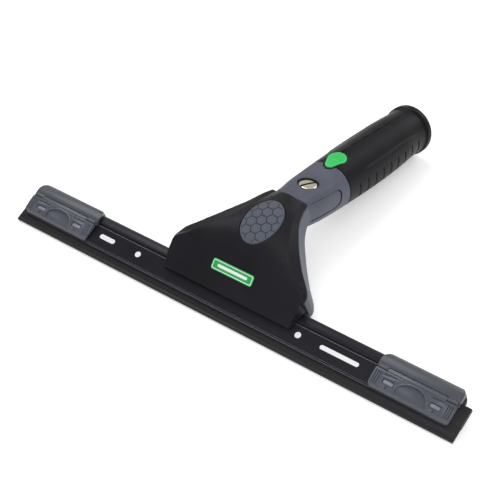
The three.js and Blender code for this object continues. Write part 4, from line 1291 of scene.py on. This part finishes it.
    def make_lower(self, shaft: "Handle") -> None:
        """Builds the lower jaw with its arch over the channel and the swivel's tongue.

        Args:
            shaft: The handle, whose round body the tongue follows.
        """
        fit = self.rail.fit
        hinge_y, hinge_z = self.layout.jaw_hinge
        rings = []
        riser = self.step + 1.4
        for y in spread(-5, 20, 26) + spread(20.6, self.rear, 70):
            wide, low = through(self.width, y), through(self.under, y)
            heel = max(0.0, y - hinge_y) * math.tan(math.radians(7))
            top = (self.seam_at(y) if y > riser else through(self.seam, riser)) - fit - heel
            section = [(wide, top), (wide, low + 1.2), (wide - 0.35, low + 0.35), (wide - 1.2, low)]
            section += [(-x, z) for x, z in reversed(section)]
            rings.append([(x, y, z) for x, z in section])
        made = Piece("jaw_lower_shell").loft(rings).build()
        front = Piece("front").box((-60, -10, -4.3), (60, self.step + 1.8, 40))
        channel = Piece("channel").push(self.rail.outline(fit), -70, 70, Along.X)
        hollow_rings = []
        for y in spread(15, 60, 30):
            wide, low = through(self.width, y) - 2.8, through(self.under, y) + self.skin
            hollow_rings.append([(wide, y, 60.0), (wide, y, low), (-wide, y, low), (-wide, y, 60.0)])
        hollow = Piece("hollow").loft(hollow_rings)
        slot = Piece("slot").box((-8, hinge_y - 3.6, hinge_z - 3.2), (8, hinge_y + 8, 40))
        liner = Piece("liner").box((-42.3, -3.9, -5.45), (42.3, 0.7, -3))
        Work.combine(made, [front, channel, hollow, slot, liner, self.circle("rear", self.tail_radius + 0.2)])
        tongue = self.tail().build()
        web = Piece("web").box((-14.6, -31.5, self.slot_bottom + 0.3), (14.6, -10, self.slot_top - 0.3))
        Work.combine(tongue, [web], Way.JOIN)
        Work.combine(tongue, [shaft.body("round", -38, 30, 0.45)], Way.KEEP)
        notches = Piece("notches").box((-3.9, 21.2, -14), (3.9, 30, -8.2))
        high, low, room = self.slot_top - 1.15, self.slot_bottom + 1.15, 7.55
        washers = Piece("washers").turned([(0, high), (room, high), (room, 0), (0, 0)])
        washers.turned([(0, -40), (room, -40), (room, low), (0, low)])
        bore = Piece("bore").turned([(0, -40), (5.3, -40), (5.3, 5), (0, 5)])
        Work.combine(tongue, [notches, washers, bore])
        tongue.data.transform(self.layout.head.matrix.inverted() @ self.layout.handle.matrix)
        line = [(y, self.seam_at(y) - fit) for y in spread(riser, self.rear, 30)]
        above = Piece("above").push(line + [(self.rear, 60.0), (riser, 60.0)], -60, 60, Along.X)
        Work.combine(tongue, [above])
        join = bmesh.new()
        join.from_mesh(made.data)
        join.from_mesh(tongue.data)
        join.to_mesh(made.data)
        join.free()
        bpy.data.objects.remove(tongue)
        Work.soften(made, 0.5, 3)
        lug = Piece("lug").box((-3.6, 50, -0.1), (3.6, hinge_y + 3.4, 30))
        Work.combine(made, [lug])
        Work.shade(made, 60)
        self.layout.head.finish(made, SLATE, "head", "slate", ["lower_jaw"])

    def build(self, shaft: "Handle") -> None:
        """Builds the whole head.

        Args:
            shaft: The handle.
        """
        self.make_upper()
        self.make_pad()
        self.make_label()
        self.make_lower(shaft)


# ------------------------------------------------------------------ handle


@dataclass
class Handle:
    """The neck, the swivel bolt, the rubber grip and the lock button."""

    axes: Axes
    axis: float = -9.8
    start: float = 24.8
    lean: float = 0.128
    length: float = 137.3
    sleeve: float = 2.3
    flange: float = 19.1
    flange_thick: float = 4.8
    waist: float = 0.2
    mouth: float = 14.15
    front_radius: float = 23.2
    slot_radius: float = 24.6
    slot_rim: float = 5.0
    slot_top: float = -4.4
    slot_bottom: float = -18.0
    recess: float = 7.45
    slit_turn: float = 66.0
    button_y: float = 34.6
    button_wide: float = 6.6
    tip_y: float = 26.2
    tip: float = 3.6
    bezel: float = 1.1
    proud: float = 0.7
    button_under: float = 2.35
    travel: float = 2.5
    ribs: int = 9
    rib_pitch: float = 10.0
    first_rib: float = 39.0
    radii: Curve = ((-40, 15.5), (-18, 15.7), (0, 17.4), (30, 18.5), (72, 19.2), (104, 18.75), (122, 18),
                    (140, 18))
    drop: Curve = ((-40, 3), (10, 3), (30, 2.8), (56, 2.35), (88, 1.6), (122, 0), (140, 0))
    flat: Curve = ((-40, 0), (10, 0), (22, 3.2), (32, 6.6), (40, 9), (140, 9))

    def reach(self, y: float, angle: float, inset: float, flat_top: bool = True) -> float:
        """Gives the handle's radius at a place.

        Args:
            y: Distance from the swivel.
            angle: Angle round the handle, 90 degrees on top, in radians.
            inset: How far inside the skin.
            flat_top: Whether the neck's flat face counts.

        Returns:
            The distance from the middle.
        """
        radius = through(self.radii, y) - inset
        rise = math.sin(angle)
        if not flat_top or rise <= 0.02:
            return radius
        face = through(self.flat, y) - inset - self.middle(y)
        return (radius ** -18 + (face / rise) ** -18) ** (-1 / 18)

    def middle(self, y: float) -> float:
        """Gives the height of the handle's middle."""
        return self.axis - through(self.drop, y)

    def body(self, name: str, low: float, high: float, inset: float, flat_top: bool = True) -> Piece:
        """Draws a stretch of the handle's round body.

        Args:
            name: Name of the piece.
            low: Where it starts.
            high: Where it ends.
            inset: How far inside the skin.
            flat_top: Whether the neck's flat face counts.

        Returns:
            The piece.
        """
        turns = [math.tau * k / 128 for k in range(128)]
        rings = []
        for y in spread(low, high, max(12, int((high - low) / 1.1))):
            ring = []
            for t in turns:
                r = self.reach(y, t, inset, flat_top)
                ring.append((r * math.cos(t), y, self.middle(y) + r * math.sin(t)))
            rings.append(ring)
        return Piece(name).loft(rings)

    def egg(self, grow: float, steps: int = 28) -> list[Flat]:
        """Draws the button's outline, narrow end towards the swivel."""
        lean = math.degrees(math.asin((self.button_wide - self.tip) / (self.button_y - self.tip_y)))
        return (arc((0, self.button_y), self.button_wide + grow, -lean, 180 + lean, steps)
                + arc((0, self.tip_y), self.tip + grow, 180 + lean, 360 - lean, steps))

    def grip_plane(self, gap: float, z: float) -> float:
        """Gives how far along the handle the rubber begins, at a height."""
        return self.start + 0.5 + gap + (4.0 - z) * self.lean

    def before_grip(self, gap: float) -> Piece:
        """Draws everything in front of the rubber."""
        low, high = self.grip_plane(gap, -60), self.grip_plane(gap, 60)
        return Piece("before").push([(-90, -60), (low, -60), (high, 60), (-90, 60)], -60, 60, Along.X)

    def make_neck(self) -> None:
        """Builds the forked neck: its round front, slot, bolt recess and the seat of the lock."""
        made = self.body("neck_shell", -23.6, 40, 0).build()
        round_front = [(0, -60), (self.front_radius, -60), (self.front_radius, 60), (0, 60)]
        drum = Piece("drum").turned(round_front, 160)
        tube = Piece("tube").box((-60, 0, -60), (60, 120, 60))
        keep = drum.build()
        Work.combine(keep, [tube], Way.JOIN)
        Work.combine(made, [keep], Way.KEEP)
        Work.combine(made, [self.before_grip(-0.1)], Way.KEEP)
        Work.combine(made, [self.body("spigot", 14, 64, 5.4, False)], Way.JOIN)
        low, high = self.slot_bottom, self.slot_top
        inner = self.slot_radius - self.slot_rim
        rim = (arc((inner, low + self.slot_rim), self.slot_rim, -90, 0, 8)
               + arc((inner, high - self.slot_rim), self.slot_rim, 0, 90, 8))
        fork = Piece("fork").turned([(0, low), *rim, (0, high)], 160)
        recess = Piece("recess").turned([(0, -1.9), (self.recess, -1.9), (self.recess, 5), (0, 5)], 96)
        bore = Piece("bore").turned([(0, -60), (3.6, -60), (3.6, 5), (0, 5)])
        nut = Piece("nut").turned([(0, -60), (6.6, -60), (6.6, -24), (0, -24)])
        lock = Piece("lock").push(self.egg(self.bezel + 0.15), self.button_under - self.travel - 0.5, 30)
        spring = Piece("spring").turned([(0, -6.4), (4.5, -6.4), (4.5, 3), (0, 3)], 64, (0.0, 32.0))
        stem = Piece("stem").box((-2.1, 29.6, -20.2), (2.1, 44.5, -5.6))
        bolt = Piece("bolt").box((-3.9, 0, -14), (3.9, 47, -8.2))
        pin = Piece("pin").push(arc((55.0, self.axis - 2.3), 1.6, 0, 342, 19), -40, 40, Along.X)
        Work.combine(made, [fork, recess, bore, nut, lock, spring, stem, bolt, pin])
        Work.soften(made, 0.42, 2)
        Work.shade(made, 60)

        def dark(place: Vector) -> float:
            """Gives the painted shade at a place: dark in the recess round the bolt."""
            near = math.hypot(place.x, place.y) < self.recess + 0.4 and place.z > -3
            return smooth_step(0.05, 0.5, -place.z) if near else 0.0

        # Painted shade in the bolt's recess.
        Work.mask(made, "recess", dark)
        self.axes.finish(made, NECK_SLATE, "handle", "slate", ["neck_fork"])

    def make_marks(self) -> None:
        """Adds the small moulded line in front of the bolt that shows where the head points."""
        made = Piece("neck_mark").push(
            round_rectangle((-3.6, -16.9), (-0.4, -15.7), [0.5] * 4), -0.4, 0.12).build()
        Work.bevel(made, 0.1, 2)
        Work.shade(made)
        self.axes.finish(made, SLATE, "handle", "slate")

    def make_bolt(self) -> None:
        """Builds the slotted head of the swivel bolt, gently domed, with its shank."""
        head, top = 6.7, -1.0
        dome = [(head * math.sin(math.radians(a)), top + 0.55 - 0.55 * (1 - math.cos(math.radians(a))) * 1.6)
                for a in spread(2, 66, 10)]
        shank = [(0, -27), (3.5, -27), (3.5, -1.88), (head, -1.88)]
        shoulder = [(head, top - 0.75), (head - 0.15, top - 0.45), (head - 0.5, top - 0.2)]
        crown = [(r, z) for r, z in reversed(dome) if r < head - 0.5]
        profile = [*shank, *shoulder, *crown, (0, top + 0.55)]
        made = Piece("pivot_bolt_head").turned(profile, 96).build()
        slit = Piece("slit").box((-9, -0.95, top - 1.3), (9, 0.95, 3))
        turn = Matrix.Rotation(math.radians(self.slit_turn), 4, "Z")
        slit.points = [tuple(turn @ Vector(point)) for point in slit.points]
        Work.combine(made, [slit])
        Work.bevel(made, 0.14, 2, 40)
        Work.shade(made, 35)
        Work.mask(made, "shadow", lambda place: 1 - smooth_step(top - 0.65, top - 0.35, place.z))
        self.axes.finish(made, NICKEL, "handle", "nickel", ["pivot_bolt"])

    def carve(self, y: float, angle: float) -> tuple[float, float]:
        """Gives how the grip's skin is raised and how much shade is painted in at a place.

        Args:
            y: Distance from the swivel.
            angle: Angle round the handle, in degrees.

        Returns:
            The height above the plain skin, and the painted shade: 1 in a groove, 0 outside it.
        """
        seam = 90 + (118 - y) * 0.085
        along = smooth_step(38, 42, y) * (1 - smooth_step(124, 127, y))
        groove = along * (1 - smooth_step(1.0, 2.6, abs(angle - seam)))
        height = -0.8 * groove + 0.15 * along * (1 - smooth_step(2.6, 4.5, abs(angle - seam)))
        side = angle if angle < 90 else 180 - angle
        line = 35 - 5 * smooth_step(95, 118, y)
        ridge = smooth_step(44, 52, y) * (1 - smooth_step(114, 120, y))
        ridge *= 1 - smooth_step(0.6, 2.4, abs(side - line))
        height += 0.5 * ridge
        rib = 0.0
        for k in range(self.ribs):
            centre = self.first_rib + k * self.rib_pitch - (side - 12) * 0.11
            across = 1 - smooth_step(0.4, 1.15, abs(y - centre))
            ends = smooth_step(-46, -36, side) * (1 - smooth_step(10, 14, side))
            rib = max(rib, across * ends)
        height -= 0.65 * rib
        ring = 1 - smooth_step(0.15, 0.6, abs(y - (self.length - 3.0)))
        height -= 0.4 * ring
        return height, max(groove, 0.8 * rib, ring)

    def skin_rings(self) -> tuple[list[list[Point]], list[list[float]]]:
        """Draws the grip's rings from the neck, over the flange and back inside.

        Returns:
            The rings, and how much shade is painted at each point.
        """
        sides, end = 300, self.length
        turns = [math.tau * k / sides for k in range(sides)]
        rings: list[list[Point]] = []
        shades: list[list[float]] = []
        shares = spread(0, 1, 230)
        for share in shares:
            ring, dark = [], []
            for t in turns:
                y = self.start
                for _ in range(3):
                    z = self.middle(y) + self.reach(y, t, 0) * math.sin(t)
                    front = self.grip_plane(0.15, z)
                    y = front + (end - 1.0 - front) * share
                angle = math.degrees(t)
                angle = angle - 360 if angle > 270 else angle
                height, shade = self.carve(y, angle)
                swell = smooth_step(end - self.flange_thick - 2.4, end - self.flange_thick + 0.3, y)
                height -= self.waist * smooth_step(end - 24, end - 9, y)
                radius = self.reach(y, t, 0) + height
                radius += (self.flange - radius) * swell
                radius -= 0.35 * (1 - smooth_step(0.0, 0.006, share))
                middle = self.middle(y) * (1 - swell) + self.axis * swell
                ring.append((radius * math.cos(t), y, middle + radius * math.sin(t)))
                dark.append(shade)
            rings.append(ring)
            shades.append(dark)
        rim = [(self.flange - 0.1, end - 0.6), (self.flange - 0.35, end - 0.25), (self.flange - 0.8, end),
               (self.mouth + 0.3, end), (self.mouth, end - 0.3), (self.mouth, end - 1.6)]
        for radius, y in rim:
            rings.append([(radius * math.cos(t), y, self.axis + radius * math.sin(t)) for t in turns])
            shades.append([0.0] * sides)
        for y in reversed(spread(self.start + 4.5, end - 1.7, 14)):
            inner = [(self.reach(y, t, self.sleeve, False), t) for t in turns]
            rings.append([(r * math.cos(t), y, self.middle(y) + r * math.sin(t)) for r, t in inner])
            shades.append([0.0] * sides)
        return rings, shades

    def make_grip(self) -> None:
        """Builds the rubber sleeve: seam, raised line, slanted ribs and the flange."""
        rings, shades = self.skin_rings()
        made = Piece("grip_rubber_sleeve").loft(rings, closed=True).build(merge=False)
        # The groove mask paints shade into the seam, the ribs and the ring by the flange.
        mask = made.data.attributes.new("groove", "FLOAT", "POINT")
        mask.data.foreach_set("value", [value for ring in shades for value in ring])
        Work.combine(made, [Piece("well").push(self.egg(self.bezel + 0.05), -6, 30)])
        Work.shade(made, 50)
        self.axes.finish(made, GRIP_RUBBER, "handle", "rubber", ["grip_sleeve"])

    def make_socket(self) -> None:
        """Builds the smooth tapered socket inside the flange."""
        mouth, throat, wall, depth = 12.2, 10.7, 1.6, 43.0
        low, high = self.length - depth - 1, self.length
        profile = [(throat + wall, low), (mouth + wall, high - 0.3), (mouth + wall - 0.3, high),
                   (mouth + 0.5, high), (mouth, high - 0.5), (throat, low)]
        turns = [math.tau * k / 96 for k in range(96)]
        rings = [[(r * math.cos(t), y, self.axis + r * math.sin(t)) for t in turns] for r, y in profile]
        made = Piece("pole_socket").loft(rings, closed=True).build()
        Work.shade(made)
        self.axes.finish(made, PLAIN_BLACK, "handle", "black", ["pole_insert"])

    def make_button(self) -> None:
        """Builds the lock button with its shallow finger lines, its slanted stem and the black bezel."""
        under, low, knee = self.button_under, -14.8, -5.8
        cap = Piece("lock_button_cap").push(self.egg(0.0, 40), under, 20).build()
        Work.combine(cap, [self.body("skin", 10, 60, -self.proud)], Way.KEEP)
        lines = Piece("lines")
        for y in (30.4, 33.0, 35.6):
            line = round_rectangle((-2.9, y - 0.35), (2.9, y + 0.35), [0.3] * 4)
            lines.push(line, 6.9 - (self.button_y - y) * 0.24, 20)
        Work.combine(cap, [lines])
        shift = knee - low
        outline = [(30.2, under + 0.5), (30.2, knee), (30.2 + shift, low), (33.8 + shift, low), (33.8, knee),
                   (33.8, under + 0.5)]
        Work.combine(cap, [Piece("stem").push(outline, -1.5, 1.5, Along.X)], Way.JOIN)
        Work.bevel(cap, 0.3, 3, 40)
        Work.shade(cap, 45)
        self.axes.finish(cap, BUTTON_GREEN, "lock_button", "green", ["lock_button"])
        ring = Piece("button_bezel_ring").push(self.egg(self.bezel, 40), 2.9, 20).build()
        Work.combine(ring, [Piece("inside").push(self.egg(0.3, 40), 0, 21)])
        Work.combine(ring, [self.body("skin", 10, 60, -0.25)], Way.KEEP)
        Work.bevel(ring, 0.16, 2, 40)
        Work.shade(ring, 45)
        self.axes.finish(ring, PLAIN_BLACK, "handle", "black", ["button_bezel"])

    def make_spring(self) -> None:
        """Winds the coil that lifts the button; the button squeezes it as it goes in, but this coil is built
        at one fixed length.
        """
        radius, wire, low, high, turns, steps = 3.5, 0.5, -5.7, 1.65, 4, 36
        upward = Vector((0.0, 0.0, 1.0))
        rings = []
        for i in range(turns * steps + 1):
            t = math.tau * i / steps
            outward = Vector((math.cos(t), math.sin(t), 0.0))
            centre = outward * radius + Vector((0.0, 32.0, low + (high - low) * i / (turns * steps)))
            ring = [math.tau * k / 12 for k in range(12)]
            rings.append([
                tuple(centre + (outward * math.cos(a) + upward * math.sin(a)) * wire) for a in ring
            ])
        made = Piece("button_spring_coil").loft(rings).build()
        Work.shade(made, 60)
        self.axes.finish(made, STEEL, "handle", "steel", ["button_spring"])
        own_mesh(made)

    def build(self) -> None:
        """Builds the whole handle."""
        self.make_neck()
        self.make_marks()
        self.make_bolt()
        self.make_grip()
        self.make_socket()
        self.make_button()
        self.make_spring()


# ------------------------------------------------------------------ carried-over nodes


@dataclass(frozen=True)
class PlainParts:
    """Nodes of the frame that keep their shape and only take a finish."""

    finishes: tuple[tuple[Finish, tuple[str, ...]], ...] = (
        (LINER_RUBBER, ("lower_liner", "upper_liner")),
        (PLAIN_BLACK, ("handle_core", "pivot_cap")),
        (STEEL, ("clip_pin_left", "clip_pin_right", "jaw_hinge_pin", "jaw_leaf_spring", "leaf_spring_screw",
                 "pivot_washer_upper", "pivot_washer_lower", "pivot_nut", "neck_cross_pin", "lock_bolt")),
        (BRONZE, ("pivot_bush",)),
    )

    def dress(self, nodes: dict[str, bpy.types.Object]) -> None:
        """Gives each node its finish.

        Args:
            nodes: The frame's nodes by name.
        """
        for finish, names in self.finishes:
            for name in names:
                data = nodes[name].data
                if not data.materials:
                    data.materials.append(None)
                for index in range(len(data.materials)):
                    data.materials[index] = finish.build()
                LOG.info("%s: %s", name, finish.name)


# ------------------------------------------------------------------ studio


@dataclass(frozen=True)
class Softbox:
    """A square studio light that faces a point.

    Attributes:
        name: Name of the light.
        place: Where it hangs, in metres.
        power: Its power, in watts.
        size: Its side, in metres.
    """

    name: str
    place: Point
    power: float
    size: float

    def build(self, aim: Vector) -> None:
        """Hangs the light.

        Args:
            aim: The point it faces.
        """
        light = bpy.data.lights.new(self.name, "AREA")
        light.energy = self.power
        light.size = self.size
        made = bpy.data.objects.new(self.name, light)
        made.location = self.place
        made.rotation_euler = (aim - Vector(self.place)).to_track_quat("-Z", "Y").to_euler()
        bpy.context.scene.collection.objects.link(made)


@dataclass(frozen=True)
class Studio:
    """The pale floor, the soft lights and the camera.

    Attributes:
        azimuth: Direction of the camera round the object, in degrees.
        elevation: Its height above the floor, in degrees.
        roll: How far it is turned about its own axis, in degrees.
        distance: From the camera to its aim, in metres.
        aim: The point it looks at, from the middle of the floor under the object, in metres.
        lens: Focal length, in millimetres.
        room: Strength of the soft light from all round.
        glow: Strength of the floor's own light, which keeps it pale.
        lights: The studio lights.
    """

    azimuth: float = 37.273
    elevation: float = 39.498
    roll: float = -0.33
    distance: float = 0.90606
    aim: Point = (-0.0155, -0.06652, 0.02)
    lens: float = 98.67
    room: float = 0.5
    glow: float = 0.3
    lights: tuple[Softbox, ...] = (
        Softbox("key_light", (-0.75, 0.35, 1.25), 8.0, 0.9),
        Softbox("fill_light", (0.75, -0.75, 1.0), 9.0, 1.2),
        Softbox("back_light", (0.2, 1.3, 0.7), 4.0, 0.9),
    )

    def make_camera(self) -> None:
        """Sets up the camera."""
        a, e, r = (math.radians(v) for v in (self.azimuth, self.elevation, self.roll))
        back = Vector((math.sin(a) * math.cos(e), -math.cos(a) * math.cos(e), math.sin(e)))
        level = Vector((math.cos(a), math.sin(a), 0.0))
        upright = back.cross(level)
        right = level * math.cos(r) + upright * math.sin(r)
        turn = Matrix((right, back.cross(right), back)).transposed().to_4x4()
        data = bpy.data.cameras.new("camera")
        data.lens = self.lens
        data.sensor_width = 36.0
        data.clip_start = 0.01
        camera = bpy.data.objects.new("camera", data)
        camera.matrix_world = Matrix.Translation(Vector(self.aim) + back * self.distance) @ turn
        bpy.context.scene.collection.objects.link(camera)
        bpy.context.scene.camera = camera

    def make_floor(self) -> None:
        """Lays the floor under the object."""
        mesh = bpy.data.meshes.new("floor")
        work = bmesh.new()
        bmesh.ops.create_grid(work, x_segments=8, y_segments=8, size=6.0)
        work.to_mesh(mesh)
        work.free()
        floor = bpy.data.objects.new("floor", mesh)
        floor.location.z = -0.0002
        bpy.context.scene.collection.objects.link(floor)
        material = bpy.data.materials.new("pale_floor")
        material.use_nodes = True
        shader = material.node_tree.nodes["Principled BSDF"]
        shader.inputs["Base Color"].default_value = (0.93, 0.93, 0.93, 1.0)
        shader.inputs["Roughness"].default_value = 0.7
        shader.inputs["Emission Color"].default_value = (1.0, 1.0, 1.0, 1.0)
        shader.inputs["Emission Strength"].default_value = self.glow
        mesh.materials.append(material)

    def make_sky(self) -> None:
        """Fills the room with soft white light."""
        world = bpy.data.worlds.new("room")
        bpy.context.scene.world = world
        world.use_nodes = True
        background = world.node_tree.nodes["Background"]
        background.inputs["Color"].default_value = (1.0, 1.0, 1.0, 1.0)
        background.inputs["Strength"].default_value = self.room
        bpy.context.scene.view_settings.view_transform = "Standard"

    def build(self) -> None:
        """Builds the studio."""
        self.make_camera()
        self.make_floor()
        self.make_sky()
        for light in self.lights:
            light.build(Vector((0.0, 0.0, 0.02)))


def main() -> None:
    """Builds every piece round the frame."""
    logging.basicConfig(level=logging.INFO, format="%(name)s %(message)s")
    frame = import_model()
    layout = Layout.read(frame["joints"])
    Studio().build()
    rail = Rail()
    rail.build(layout.rail)
    for side in ("left", "right"):
        EndClip(side, rail).build(layout.rail)
    handle = Handle(layout.handle)
    Jaws(layout, rail).build(handle)
    handle.build()
    PlainParts().dress(frame["nodes"])


if __name__ == "__main__":
    main()
